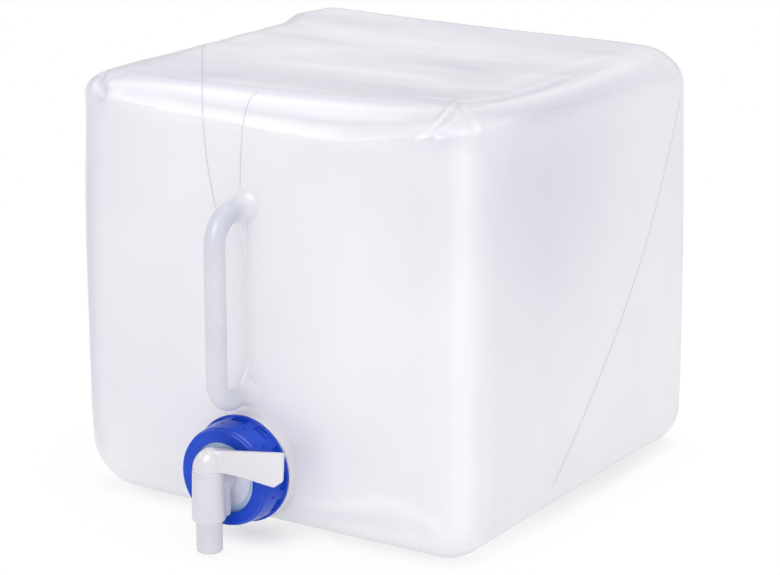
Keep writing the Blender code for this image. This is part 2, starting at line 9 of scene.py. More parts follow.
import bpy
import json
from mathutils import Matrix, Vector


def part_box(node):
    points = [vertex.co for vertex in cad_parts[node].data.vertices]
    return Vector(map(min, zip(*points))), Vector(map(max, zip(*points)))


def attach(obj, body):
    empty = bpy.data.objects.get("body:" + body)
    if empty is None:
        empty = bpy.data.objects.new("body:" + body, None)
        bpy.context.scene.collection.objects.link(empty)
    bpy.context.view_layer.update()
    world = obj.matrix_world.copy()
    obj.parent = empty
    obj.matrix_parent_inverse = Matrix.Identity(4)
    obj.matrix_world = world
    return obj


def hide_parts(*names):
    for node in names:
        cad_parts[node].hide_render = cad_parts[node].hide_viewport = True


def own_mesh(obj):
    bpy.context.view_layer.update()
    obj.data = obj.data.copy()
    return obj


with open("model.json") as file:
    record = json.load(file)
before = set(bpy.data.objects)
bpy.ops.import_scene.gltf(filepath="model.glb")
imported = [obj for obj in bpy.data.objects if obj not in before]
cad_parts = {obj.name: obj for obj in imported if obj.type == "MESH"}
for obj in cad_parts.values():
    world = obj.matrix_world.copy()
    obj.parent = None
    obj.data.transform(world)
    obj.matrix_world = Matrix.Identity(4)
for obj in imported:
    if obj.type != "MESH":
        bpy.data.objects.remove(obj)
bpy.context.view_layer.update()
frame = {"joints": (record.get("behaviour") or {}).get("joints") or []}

# %% Tools used all through
import json
import math

import bmesh
import bpy
import numpy as np
from mathutils import Matrix, Vector, noise
from mathutils.bvhtree import BVHTree

MM = 0.001
# Keeps a share from being divided by nothing.
TINY = 1e-9
joints = {joint["name"]: joint for joint in frame["joints"]}
print("joints:", sorted(joints))

# %% [markdown]
# ## The camera
#
# The box's straight edges in the photograph give its vanishing points, and from them come the focal
# length, the turn and the tilt of the camera. A long lens was used, so the sides of the box hardly
# run together. Lens shift is not needed, because the aim and the place of the camera are both free.

# %% Camera
PICTURE_WIDTH = 780
PICTURE_HEIGHT = 575
SENSOR = 36.0
FOCAL_PIXELS = 2655.42
CAMERA_TURN = 0.56512
CAMERA_TILT = 0.28089
CAMERA_ROLL = -0.00122
CAMERA_DISTANCE = 1.6419
CAMERA_DROP = 0.0150
AIM_HEIGHT = 0.131

look = Vector((
    -math.sin(CAMERA_TURN) * math.cos(CAMERA_TILT),
    math.cos(CAMERA_TURN) * math.cos(CAMERA_TILT),
    -math.sin(CAMERA_TILT),
))
level = Vector((math.cos(CAMERA_TURN), math.sin(CAMERA_TURN), 0))
across = math.cos(CAMERA_ROLL) * level + math.sin(CAMERA_ROLL) * level.cross(look)
upward = across.cross(look)
eye = Vector((0, 0, AIM_HEIGHT)) - look * CAMERA_DISTANCE - upward * CAMERA_DROP

camera_data = bpy.data.cameras.new("photo_camera")
camera_data.sensor_width = SENSOR
camera_data.lens = SENSOR * FOCAL_PIXELS / PICTURE_WIDTH
camera = bpy.data.objects.new("photo_camera", camera_data)
bpy.context.scene.collection.objects.link(camera)
camera.matrix_world = Matrix.Translation(eye) @ Matrix((across, upward, -look)).transposed().to_4x4()
bpy.context.scene.camera = camera
print("lens", round(camera_data.lens, 1), "mm, eye at", [round(v, 3) for v in eye])


# %% From a pixel of the photograph to a ray
def pixel_ray(pixel):
    """Direction from the eye through a point of the 780 by 575 picture."""
    right = (pixel[0] - PICTURE_WIDTH / 2) / FOCAL_PIXELS
    up = (PICTURE_HEIGHT / 2 - pixel[1]) / FOCAL_PIXELS
    return (look + across * right + upward * up).normalized()


# %% [markdown]
# ## Small helpers for materials
#
# A material is a net of nodes, and each node needs a few numbers and a few links. One helper makes a
# node with all that it needs, so that a material reads as a short list of steps.

# %% Making and feeding a node
def feed(tree, node, inputs):
    """Puts a number, a colour or another node's output on each input that is named."""
    for socket, value in inputs.items():
        if isinstance(value, bpy.types.NodeSocket):
            tree.links.new(value, node.inputs[socket])
        else:
            node.inputs[socket].default_value = value


def add_node(tree, kind, inputs=None, **settings):
    node = tree.nodes.new(kind)
    for name, value in settings.items():
        setattr(node, name, value)
    feed(tree, node, inputs or {})
    return node


def calculated(tree, operation, *values):
    return add_node(tree, "ShaderNodeMath", dict(enumerate(values)), operation=operation).outputs[0]


def coordinates(tree, kind="Object"):
    return add_node(tree, "ShaderNodeTexCoord").outputs[kind]


def distance_from_middle(tree, place):
    return add_node(tree, "ShaderNodeVectorMath", {0: place}, operation="LENGTH").outputs["Value"]


def mixed_shaders(tree, share, first, second):
    return add_node(tree, "ShaderNodeMixShader", {0: share, 1: first, 2: second}).outputs[0]


# %% [markdown]
# ## The floor, the backdrop and the light
#
# The carrier stands in a white studio that is open to the right and the front. The floor is a matt
# white sheet that runs out to the horizon. Lighting it until it burns out would bleach the pale plastic
# too, so the floor adds a little white of its own, and only for rays that come from the camera or
# through something shiny. It adds less in four oval spots, under the cap and round the foot, where the
# photograph shows the carrier's soft shadow.

# %% Floor and world
FLOOR_SIZE = 60.0
FLOOR_WHITE = 0.93
FLOOR_GLOW_NEAR = 0.90
FLOOR_GLOW_REACH = (0.25, 0.75)
# Each spot is: middle, reach along x and y, and how much less white.
SHADOW_SPOTS = (
    ((0.125, 0.05), (0.075, 0.20), 0.30),
    ((-0.004, -0.141), (0.050, 0.030), 0.43),
    ((-0.085, -0.120), (0.080, 0.022), 0.20),
    ((0.060, -0.118), (0.100, 0.022), 0.22),
)
WORLD_STRENGTH = (0.26, 0.80)
OPEN_SIDE = (0.55, -0.60, 0.35)


def seen_directly(tree):
    """A value of 1 for camera, glossy and transmission rays, and 0 for the others."""
    path = add_node(tree, "ShaderNodeLightPath")
    total = path.outputs["Is Camera Ray"]
    for kind in ("Is Glossy Ray", "Is Transmission Ray"):
        total = calculated(tree, "MAXIMUM", total, path.outputs[kind])
    return total


def darker_spot(tree, place, white, centre, reach, amount):
    """Takes an amount off a value, most at the centre of an oval spot and nothing at its edge."""
    oval = add_node(tree, "ShaderNodeMapping", {
        "Location": (*centre, 0), "Scale": (*reach, 1), "Vector": place}, vector_type="TEXTURE")
    inside = add_node(tree, "ShaderNodeMapRange", {
        "Value": distance_from_middle(tree, oval.outputs["Vector"]), "To Min": amount, "To Max": 0.0,
    }, interpolation_type="SMOOTHSTEP")
    return calculated(tree, "SUBTRACT", white, inside.outputs["Result"])


def floor_material():
    material = bpy.data.materials.new("studio_floor")
    material.use_nodes = True
    tree = material.node_tree
    tree.nodes.clear()
    matt = add_node(tree, "ShaderNodeBsdfDiffuse", {"Color": (FLOOR_WHITE, FLOOR_WHITE, FLOOR_WHITE, 1)})
    glow = add_node(tree, "ShaderNodeEmission", {"Strength": 1.0})
    place = coordinates(tree)
    fade = add_node(tree, "ShaderNodeMapRange", {
        "Value": distance_from_middle(tree, place), "From Min": FLOOR_GLOW_REACH[0],
        "From Max": FLOOR_GLOW_REACH[1], "To Min": FLOOR_GLOW_NEAR, "To Max": 1.0,
    }, interpolation_type="SMOOTHSTEP")
    white = fade.outputs["Result"]
    for spot in SHADOW_SPOTS:
        white = darker_spot(tree, place, white, *spot)
    share = calculated(tree, "MULTIPLY", seen_directly(tree), white)
    surface = mixed_shaders(tree, share, matt.outputs[0], glow.outputs[0])
    add_node(tree, "ShaderNodeOutputMaterial", {"Surface": surface})
    return material


def finished(bm, name):
    mesh = bpy.data.meshes.new(name)
    bm.to_mesh(mesh)
    bm.free()
    return mesh


def build_floor():
    bm = bmesh.new()
    bmesh.ops.create_grid(bm, x_segments=2, y_segments=2, size=FLOOR_SIZE / 2)
    floor = bpy.data.objects.new("studio_floor", finished(bm, "studio_floor"))
    floor.data.materials.append(floor_material())
    bpy.context.scene.collection.objects.link(floor)


def build_world():
    world = bpy.data.worlds.new("studio_world")
    world.use_nodes = True
    tree = world.node_tree
    towards = add_node(tree, "ShaderNodeVectorMath", {
        0: coordinates(tree, "Generated"), 1: Vector(OPEN_SIDE).normalized()}, operation="DOT_PRODUCT")
    bright = add_node(tree, "ShaderNodeMapRange", {
        "Value": towards.outputs["Value"], "From Min": -1.0, "To Min": WORLD_STRENGTH[0],
        "To Max": WORLD_STRENGTH[1]}, interpolation_type="SMOOTHSTEP")
    camera_ray = add_node(tree, "ShaderNodeLightPath").outputs["Is Camera Ray"]
    strength = add_node(tree, "ShaderNodeMix", {0: camera_ray, 2: bright.outputs["Result"], 3: 1.0})
    feed(tree, tree.nodes["Background"], {"Strength": strength.outputs[0], "Color": (1, 1, 1, 1)})
    bpy.context.scene.world = world


build_floor()
build_world()
bpy.context.scene.view_settings.view_transform = "Standard"
print("floor", FLOOR_SIZE, "m wide, world at", WORLD_STRENGTH)

# %% [markdown]
# Large soft boxes stand round the carrier. Two of them have a task of their own. The low box lights
# the front from low down and isn't seen in reflections, and the front spark box gives nothing but
# highlights, such as the bright spot on the tap's dome.

# %% Soft boxes: name, place, aim, size and watts
SOFT_BOXES = (
    ("top_box", (0.3, 0.2, 2.3), (0.0, 0.0, 0.12), (2.0, 2.0), 30.0),
    ("overhead_box", (-1.05, 0.52, 1.85), (0.0, -0.10, 0.25), (1.1, 0.8), 3.0),
    ("back_box", (-1.5, 2.45, 1.18), (0.0, 0.0, 0.20), (1.9, 0.75), 1.5),
    ("right_box", (1.9, -1.25, 0.50), (0.0, 0.0, 0.12), (0.28, 0.9), 2.6),
    ("low_box", (0.5, -2.3, 0.30), (0.0, 0.0, 0.08), (2.4, 0.56), 11.0),
    ("left_box", (-2.2, -0.20, 1.20), (0.0, 0.0, 0.10), (1.0, 1.0), 10.0),
    ("front_spark_box", (0.06, -1.40, 1.35), (0.0, -0.17, 0.06), (1.20, 1.00), 32.0),
)


def soft_box(name, place, aim, size, watts):
    data = bpy.data.lights.new(name, "AREA")
    data.shape = "RECTANGLE"
    data.size, data.size_y = size
    data.energy = watts
    lamp = bpy.data.objects.new(name, data)
    bpy.context.scene.collection.objects.link(lamp)
    lamp.location = place
    lamp.rotation_euler = (Vector(aim) - Vector(place)).to_track_quat("-Z", "Y").to_euler()
    return lamp


lamps = {box[0]: soft_box(*box) for box in SOFT_BOXES}
lamps["low_box"].visible_glossy = False
lamps["front_spark_box"].visible_diffuse = False
lamps["front_spark_box"].visible_transmission = False
print(len(lamps), "soft boxes")

# %% [markdown]
# ## Plastics
#
# Every piece is moulded from polyethylene or a near relation. The plastic is milky: part of the light
# goes in, scatters and comes out elsewhere, also on the far side of a thin wall. A Principled shader
# gives colour and gloss, and a Translucent shader mixed into it passes light through the wall. Faint
# noise in the colour, the gloss and the surface keeps the plastic from looking like computer paint.

# %% A milky or solid plastic
SHADE_STOPS = (0.35, 0.68)
GLOSS_SPREAD = (0.82, 1.2)
COAT_ROUGHNESS = 0.12
GRAIN_SCALE = 1400.0


def bumped(tree, texture, height, below=None):
    """A texture as relief of a given height, laid over the relief below it."""
    bump = add_node(tree, "ShaderNodeBump", {
        "Strength": 1.0, "Distance": height, "Height": texture.outputs["Fac"]})
    if below is not None:
        feed(tree, bump, {"Normal": below})
    return bump.outputs["Normal"]


def plastic(name, colour, second_colour, roughness, see_through, patch_scale, ripple_scale,
            ripple_height, grain_height, coat):
    """Patches of two near colours, uneven gloss, slow ripples and fine grain."""
    material = bpy.data.materials.new(name)
    material.use_nodes = True
    tree = material.node_tree
    place = coordinates(tree)
    patches = add_node(tree, "ShaderNodeTexNoise", {
        "Scale": patch_scale, "Detail": 2.0, "Vector": place}, name="patches").outputs["Fac"]
    shades = add_node(tree, "ShaderNodeValToRGB", {"Fac": patches}, name="shades")
    for stop, where, shade in zip(shades.color_ramp.elements, SHADE_STOPS, (colour, second_colour)):
        stop.position = where
        stop.color = (*shade, 1)
    gloss = add_node(tree, "ShaderNodeMapRange", {
        "Value": patches, "To Min": roughness * GLOSS_SPREAD[0], "To Max": roughness * GLOSS_SPREAD[1]})
    ripples = add_node(tree, "ShaderNodeTexNoise", {
        "Scale": ripple_scale, "Detail": 0.0, "Vector": place}, normalize=False)
    grain = add_node(tree, "ShaderNodeTexNoise", {"Scale": GRAIN_SCALE, "Vector": place})
    relief = bumped(tree, grain, grain_height * MM, bumped(tree, ripples, ripple_height * MM))
    shader = tree.nodes["Principled BSDF"]
    feed(tree, shader, {
        "Base Color": shades.outputs["Color"], "Roughness": gloss.outputs["Result"], "Coat Weight": coat,
        "Coat Roughness": COAT_ROUGHNESS, "Normal": relief})
    if see_through:
        through = add_node(tree, "ShaderNodeBsdfTranslucent", {"Color": shades.outputs["Color"]})
        surface = mixed_shaders(tree, see_through, shader.outputs[0], through.outputs[0])
        feed(tree, tree.nodes["Material Output"], {"Surface": surface})
    return material


# %% [markdown]
# Three of the plastics change their colour over the piece. The film is lighter where it was blown out
# furthest, and its number also carries painted shade and highlight. The handle is darkest at its upper
# bend, which is painted shade. The tap's flange is painted bluish outside its hub, as blue light
# bounced from the cap. A number at each vertex says which of the two colours shows, and the noise only
# makes it uneven.

# %% A colour that follows the number at each vertex
UNEVENNESS = 0.44


def deepened(material, value_name):
    """A value of 0 gives the first colour of a plastic, and 1 the second."""
    tree = material.node_tree
    value = add_node(tree, "ShaderNodeAttribute", attribute_name=value_name).outputs["Fac"]
    centred = calculated(tree, "SUBTRACT", value, UNEVENNESS / 2)
    patches = tree.nodes["patches"].outputs["Fac"]
    shades = tree.nodes["shades"]
    feed(tree, shades, {"Fac": calculated(tree, "MULTIPLY_ADD", patches, UNEVENNESS, centred)})
    for stop, where in zip(shades.color_ramp.elements, (0.0, 1.0)):
        stop.position = where


# %% The plastics of this carrier
# Each row is: name, two colours, roughness, share of light let through, patches and ripples per metre,
# height of ripples and of grain in millimetres, and share of a clear coat.
PLASTICS = (
    # The film's second colour is its thick violet tone, which the film's value also uses for painted
    # shade.
    ("film_plastic", (0.965, 0.960, 0.975), (0.74, 0.73, 0.815), 0.24, 0.42, 11, 16, 0.25, 0.004, 0.3),
    ("neck_plastic", (0.90, 0.89, 0.935), (0.93, 0.92, 0.95), 0.28, 0.25, 60, 40, 0.20, 0.004, 0.2),
    # The parting lines are a darker grey: partly thicker plastic, partly painted shade of the crease.
    ("line_plastic_with_painted_shade", (0.76, 0.75, 0.82), (0.80, 0.79, 0.85), 0.35, 0.25, 40, 9, 0.20, 0.004, 0.0),
    # The handle's second colour is its grip's own tone, and in the upper bend also painted shade.
    ("handle_plastic", (0.930, 0.925, 0.948), (0.68, 0.69, 0.77), 0.30, 0.40, 60, 60, 0.08, 0.004, 0.1),
    ("tap_plastic", (0.745, 0.73, 0.805), (0.785, 0.77, 0.83), 0.20, 0.22, 50, 60, 0.04, 0.003, 0.4),
    ("plug_plastic", (0.83, 0.82, 0.85), (0.87, 0.86, 0.88), 0.16, 0.30, 30, 60, 0.04, 0.003, 0.4),
    # The flange's second colour is painted blue light bounced from the cap.
    ("flange_plastic", (0.82, 0.84, 0.965), (0.62, 0.83, 1.00), 0.28, 0.25, 60, 60, 0.04, 0.003, 0.2),
    ("cap_plastic", (0.005, 0.046, 0.47), (0.008, 0.064, 0.56), 0.22, 0.0, 60, 90, 0.05, 0.003, 0.0),
    ("washer_rubber", (0.70, 0.70, 0.67), (0.74, 0.74, 0.71), 0.75, 0.0, 80, 80, 0.05, 0.01, 0.0),
)
CAP_SPECULAR = 0.26

plastics = {row[0]: plastic(*row) for row in PLASTICS}
deepened(plastics["film_plastic"], "film_depth_painted_shade_and_highlight")
deepened(plastics["handle_plastic"], "handle_depth_and_painted_bend_shade")
deepened(plastics["flange_plastic"], "flange_painted_blue_bounce")
cap_shader = plastics["cap_plastic"].node_tree.nodes["Principled BSDF"]
cap_shader.inputs["Specular IOR Level"].default_value = CAP_SPECULAR
print("plastics:", list(plastics))

# %% [markdown]
# ## The film box
#
# The real container is blown in one piece from soft film, and its walls are slack, so no edge is a
# plain quarter round. The front edge of the top lies as a wide, flat band between two ridges, the right
# edge is narrower, and the top hangs down like a shallow dish. A block is laid out as a fine grid, and
# each grid point is moved to the rounded surface. Every edge has its own radii, which change along it.
# One closed skin does this better than three walls, because no seam shows between them.

# %% Size of the block
WALL_NODES = ("front_wall", "folding_walls", "back_wall")
FACE_BULGE = 3.0 * MM
TOP_DISH = 5.0 * MM
FRONT_EDGE_SAG = 4.0 * MM
RIGHT_EDGE_SAG = 1.5 * MM
FALL_OFF = 8

wall_boxes = [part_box(name) for name in WALL_NODES]
skin_low = np.min([np.array(low) for low, high in wall_boxes], axis=0)
skin_high = np.max([np.array(high) for low, high in wall_boxes], axis=0)
half = (skin_high - skin_low) / 2 - np.array((FACE_BULGE, FACE_BULGE, 0))
middle = (skin_high + skin_low) / 2
FACE_Y = middle[1] - half[1]
print("block in mm:", np.round(2 * half / MM, 1), "front face at y", round(FACE_Y / MM, 1))

# %% A grid that is finer near the edges
FINE_STEP = 1.35 * MM
COARSE_STEP = 3.8 * MM
GRID_SAMPLES = 4001
# How far the fine lines reach in from both ends of x, y and z, in millimetres.
FINE_REACH = ((30, 42), (48, 28), (26, 34))


def grid_lines(length, low_reach, high_reach):
    """Places from -1 to 1 of grid lines that are close together near both ends of a length."""
    place = np.linspace(0, length, GRID_SAMPLES)

    def step_at(distance, reach):
        share = np.clip((distance - reach) / reach, 0, 1)
        return FINE_STEP + (COARSE_STEP - FINE_STEP) * share * share * (3 - 2 * share)

    step = np.minimum(step_at(place, low_reach), step_at(length - place, high_reach))
    count = np.concatenate(([0], np.cumsum(np.diff(place) / step[1:])))
    pieces = round(count[-1])
    return np.interp(np.arange(pieces + 1) * count[-1] / pieces, count, place) * 2 / length - 1


def block_grid(lines):
    """Points between -1 and 1 on the six sides of a block, and the quads that join them."""
    n = [len(line) for line in lines]
    quads = []
    for axis in range(3):
        first, second = [a for a in range(3) if a != axis]
        u, v = np.meshgrid(np.arange(n[first]), np.arange(n[second]), indexing="ij")
        for high in (False, True):
            index = [None] * 3
            index[axis] = np.full_like(u, n[axis] - 1 if high else 0)
            index[first], index[second] = u, v
            ids = (index[0] * n[1] + index[1]) * n[2] + index[2]
            made = np.stack((ids[:-1, :-1], ids[1:, :-1], ids[1:, 1:], ids[:-1, 1:]), -1).reshape(-1, 4)
            outwards = high if axis != 1 else not high
            quads.append(made if outwards else made[:, ::-1])
    used, quads = np.unique(np.concatenate(quads), return_inverse=True)
    points = np.stack((
        lines[0][used // (n[1] * n[2])], lines[1][used // n[2] % n[1]], lines[2][used % n[2]],
    ), 1)
    return points, quads.reshape(-1, 4)


lines = [grid_lines(2 * size, low * MM, high * MM) for size, (low, high) in zip(half, FINE_REACH)]
grid, quads = block_grid(lines)
print("grid:", [len(line) for line in lines], "lines,", len(quads), "quads")

# %% Radii of the twelve edges, in millimetres
# Each row is: place along the edge from -1 to 1, radius in x, in y and in z, and how flat the edge is.
# A flatness of 0 is a round arc, 1 is a straight bevel, and more than 1 is slightly hollow.
FRONT_LEFT_TOP = (31, 34, 14)
FRONT_RIGHT_TOP = (34, 44, 9)
BACK_LEFT_TOP = (24, 25, 18)
BACK_RIGHT_TOP = (33, 33, 24)
FOOT = (29, 29, 29)
FRONT_LEFT_FOOT = (33, 33, 33)
BACK_RIGHT_FOOT = (22, 23, 27)
FRONT_TOP = (
    (-1.00, *FRONT_LEFT_TOP, 0.0), (-0.87, 33, 31, 16, 0.1), (-0.77, 33, 22, 12.5, 0.7),
    (-0.54, 33, 28, 13.5, 0.95), (-0.24, 33, 35, 14.6, 0.98), (0.07, 34, 42, 17.3, 1.0),
    (0.37, 34, 47, 18.2, 1.0), (0.60, 34, 48, 13.2, 0.95), (0.76, 34, 46, 9.5, 0.6),
    (1.00, *FRONT_RIGHT_TOP, 0.1),
)
RIGHT_TOP = (
    (-1.00, *FRONT_RIGHT_TOP, 0.1), (-0.62, 33, 44, 6, 0.3), (-0.38, 30, 30, 6.5, 0.4),
    (0.0, 24, 22, 9, 0.4), (0.45, 20, 26, 12, 0.3), (1.00, *BACK_RIGHT_TOP, 0.0),
)
LEFT_TOP = (
    (-1.00, *FRONT_LEFT_TOP, 0.0), (-0.6, 28, 34, 11, 0.1), (0.0, 25, 24, 18, 0.1),
    (0.52, 25, 20, 19.5, 0.1), (0.70, 16, 20, 8.5, 0.0), (0.82, 18, 22, 12.5, 0.0),
    (1.00, *BACK_LEFT_TOP, 0.0),
)
BACK_TOP = (
    (-1.00, *BACK_LEFT_TOP, 0.0), (-0.6, 20, 24, 17, 0.1), (0.0, 24, 24, 15, 0.2),
    (0.6, 30, 26, 17, 0.1), (1.00, *BACK_RIGHT_TOP, 0.0),
)
FRONT_LEFT = (
    (-1.00, *FRONT_LEFT_FOOT, 0), (-0.6, 29, 29, 29, 0), (0.2, 29, 29, 29, 0), (0.5, 31, 31, 26, 0),
    (0.7, 34, 34, 24, 0), (0.85, 35, 36, 20, 0), (1.00, *FRONT_LEFT_TOP, 0.0),
)
FRONT_RIGHT = (
    (-1.00, *FOOT, 0), (0.6, 28, 28, 20, 0), (0.88, 30, 32, 9, 0), (1.00, *FRONT_RIGHT_TOP, 0.1),
)
BACK_LEFT = ((-1.00, *FOOT, 0), (0.6, 27, 27, 20, 0), (1.00, *BACK_LEFT_TOP, 0))
BACK_RIGHT = (
    (-1.00, *BACK_RIGHT_FOOT, 0), (-0.6, 21, 22, 27, 0), (0.0, 24, 24, 25, 0), (0.6, 29, 29, 22, 0),
    (1.00, *BACK_RIGHT_TOP, 0),
)
# Two edges of the foot start at the front left corner, and two end at the back right one.
FOOT_FROM_LEFT = ((-1.00, *FRONT_LEFT_FOOT, 0), (-0.6, *FOOT, 0), (1.00, *FOOT, 0))
FOOT_TO_RIGHT = ((-1.00, *FOOT, 0), (0.6, *FOOT, 0), (1.00, *BACK_RIGHT_FOOT, 0))
# Each edge is: the axis that it runs along, on which sides of the block it lies, and its rows.
EDGES = (
    (0, (0, -1, 1), FRONT_TOP), (1, (1, 0, 1), RIGHT_TOP), (1, (-1, 0, 1), LEFT_TOP),
    (0, (0, 1, 1), BACK_TOP), (2, (-1, -1, 0), FRONT_LEFT), (2, (1, -1, 0), FRONT_RIGHT),
    (2, (-1, 1, 0), BACK_LEFT), (2, (1, 1, 0), BACK_RIGHT), (0, (0, -1, -1), FOOT_FROM_LEFT),
    (0, (0, 1, -1), FOOT_TO_RIGHT), (1, (1, 0, -1), FOOT_TO_RIGHT), (1, (-1, 0, -1), FOOT_FROM_LEFT),
)
EDGE_FOCUS = 12


def edge_radii(points):
    """Three radii in metres and the flatness for each grid point, mixed from the edges near it."""
    total = np.zeros((len(points), 4))
    total[:, :3] = FOOT[0] * TINY
    weights = np.full(len(points), TINY)
    for along, signs, rows in EDGES:
        near = np.ones(len(points))
        for axis in range(3):
            if axis != along:
                near = near * np.clip(points[:, axis] * signs[axis], 0, 1) ** EDGE_FOCUS
        place, *columns = np.array(rows, float).T
        values = np.stack([np.interp(points[:, along], place, column) for column in columns], 1)
        total += values * near[:, None]
        weights += near
    mixed = total / weights[:, None]
    return mixed[:, :3] * MM, mixed[:, 3]


def rounded(points):
    """The grid points on the block with its edges rounded, before the film sags."""
    radii, flat = edge_radii(points)
    place = points * half
    core = np.clip(place, -(half - radii), half - radii)
    lean = (place - core) / radii
    lean /= np.maximum(np.linalg.norm(lean, axis=1), TINY)[:, None]
    bevel = lean / np.maximum(np.abs(lean).sum(axis=1), TINY)[:, None]
    shape = lean + (bevel - lean) * flat[:, None]
    return core + radii * shape + middle, lean


block, lean = rounded(grid)
print("rounded block in mm:", np.round(np.ptp(block, axis=0) / MM, 1))

# %% [markdown]
# Filled film bulges a little on its upright faces and sags on top. The corners hold the edges up, so
# the sag is deepest in the middle of each edge. On top of that come slow waves: long ones across the
# top, where the slack film lies in streaks, and weaker ones on the walls.

# %% Bulge, sag and slow waves
TOP_WAVE = 0.9 * MM
WALL_WAVE = 0.5 * MM
TOP_STREAKS = (0.150, 0.030, 0.060)
FINE_TOP_STREAKS = (0.070, 0.016, 0.060)
WALL_WAVES = (0.090, 0.110, 0.120)
NOISE_SHIFT = (7.31, 3.17, 5.53)
EDGE_FADE = 6


def softened(place):
    sides = (place - middle) / half
    right, back, up = sides.T
    rest = np.clip(1 - sides ** 2, 0, None)
    moved = place.copy()
    for axis, other in ((0, 1), (1, 0)):
        side = sides[:, axis]
        bulge = np.sign(side) * FACE_BULGE * rest[:, other] * rest[:, 2]
        moved[:, axis] += bulge * np.abs(side) ** FALL_OFF
    sag = TOP_DISH * rest[:, 0] * rest[:, 1]
    sag += FRONT_EDGE_SAG * rest[:, 0] * np.clip(-back, 0, 1) ** 2
    sag += RIGHT_EDGE_SAG * rest[:, 1] * np.clip(right, 0, 1) ** 2
    moved[:, 2] -= np.clip(up, 0, None) ** FALL_OFF * sag
    return moved


def slow_waves(place, scale, number):
    """Smooth noise from about -1 to 1 at each point; scale is the length of a wave along x, y and z."""
    shift = Vector([number * s for s in NOISE_SHIFT])
    size = Vector([1 / s for s in scale])
    return np.array([noise.noise(Vector(p) * size + shift) for p in place])


def waved(place):
    sides = (place - middle) / half
    up = np.clip(sides[:, 2], 0, 1) ** FALL_OFF
    inner = 1 - np.max(np.abs(sides[:, :2]), axis=1) ** EDGE_FADE
    streaks = slow_waves(place, TOP_STREAKS, 1) + 0.5 * slow_waves(place, FINE_TOP_STREAKS, 2)
    moved = place.copy()
    moved[:, 2] += TOP_WAVE * up * np.clip(inner, 0, 1) * streaks
    walls = slow_waves(place, WALL_WAVES, 3)
    upright = np.clip(1 - np.abs(sides[:, 2]) ** EDGE_FADE, 0, 1)
    for axis in (0, 1):
        side = sides[:, axis]
        moved[:, axis] += WALL_WAVE * upright * walls * np.sign(side) * np.abs(side) ** FALL_OFF
    return moved


skin_points = waved(softened(block))
print("filled skin in mm:", np.round(np.ptp(skin_points, axis=0) / MM, 1))

# %% [markdown]
# Where three edges meet, too much film has to fit into a small corner, so it puckers. The folds are
# drawn as short lines in the picture: the ridges and creases of the corners, the valley of the front
# band, the foot, and the film that rises to the roots of the handle. Each line is carried onto the skin
# along the camera's rays, and the film near it is lifted to a ridge or pushed in to a crease.


# %% Lines of the picture on the skin
def smooth_path(points, per_span=8):
    """A smooth curve through the points, in any number of dimensions."""
    points = np.array(points, float)
    ends = np.concatenate(([2 * points[0] - points[1]], points, [2 * points[-1] - points[-2]]))
    path = []
    for a, b, c, d in zip(ends, ends[1:], ends[2:], ends[3:]):
        for t in np.arange(per_span) / per_span:
            path.append(0.5 * (2 * b + (c - a) * t + (2 * a - 5 * b + 4 * c - d) * t * t
                               + (3 * b - 3 * c + d - a) * t ** 3))
    path.append(points[-1])
    return np.array(path)


def skin_tree(points):
    return BVHTree.FromPolygons([Vector(p) for p in points], quads.tolist())


def on_skin(tree, pixels):
    """Points of the skin that are seen at these pixels, and the skin's normals there."""
    hits = [tree.ray_cast(eye, pixel_ray(pixel))[:2] for pixel in pixels]
    hits = [hit for hit in hits if hit[0] is not None]
    return np.array([place for place, normal in hits]), np.array([normal for place, normal in hits])


def skin_normals(points):
    mesh = bpy.data.meshes.new("normals")
    mesh.from_pydata(points.tolist(), [], quads.tolist())
    found = np.zeros(len(points) * 3)
    mesh.vertex_normals.foreach_get("vector", found)
    bpy.data.meshes.remove(mesh)
    return found.reshape(-1, 3)


def distance_to_path(points, path):
    """Distance of each point to a path, and how far along the path it is, from 0 to 1."""
    best = np.full(len(points), np.inf)
    share = np.zeros(len(points))
    spans = len(path) - 1
    for number, (a, b) in enumerate(zip(path, path[1:])):
        span = b - a
        t = np.clip((points - a) @ span / max(span @ span, TINY ** 2), 0, 1)
        gap = np.linalg.norm(points - a - t[:, None] * span, axis=1)
        nearer = gap < best
        best[nearer] = gap[nearer]
        share[nearer] = (number + t[nearer]) / spans
    return best, share


def near_line(points, tree, pixels, width, end_share, power):
    """A value of 1 on a line of the picture, fading beside it over its half width and at its ends."""
    gap, share = distance_to_path(points, on_skin(tree, smooth_path(pixels))[0])
    taper = np.sin(np.pi * (end_share + (1 - 2 * end_share) * share)) ** power
    return taper * np.exp(-(gap / (width * MM)) ** 2)


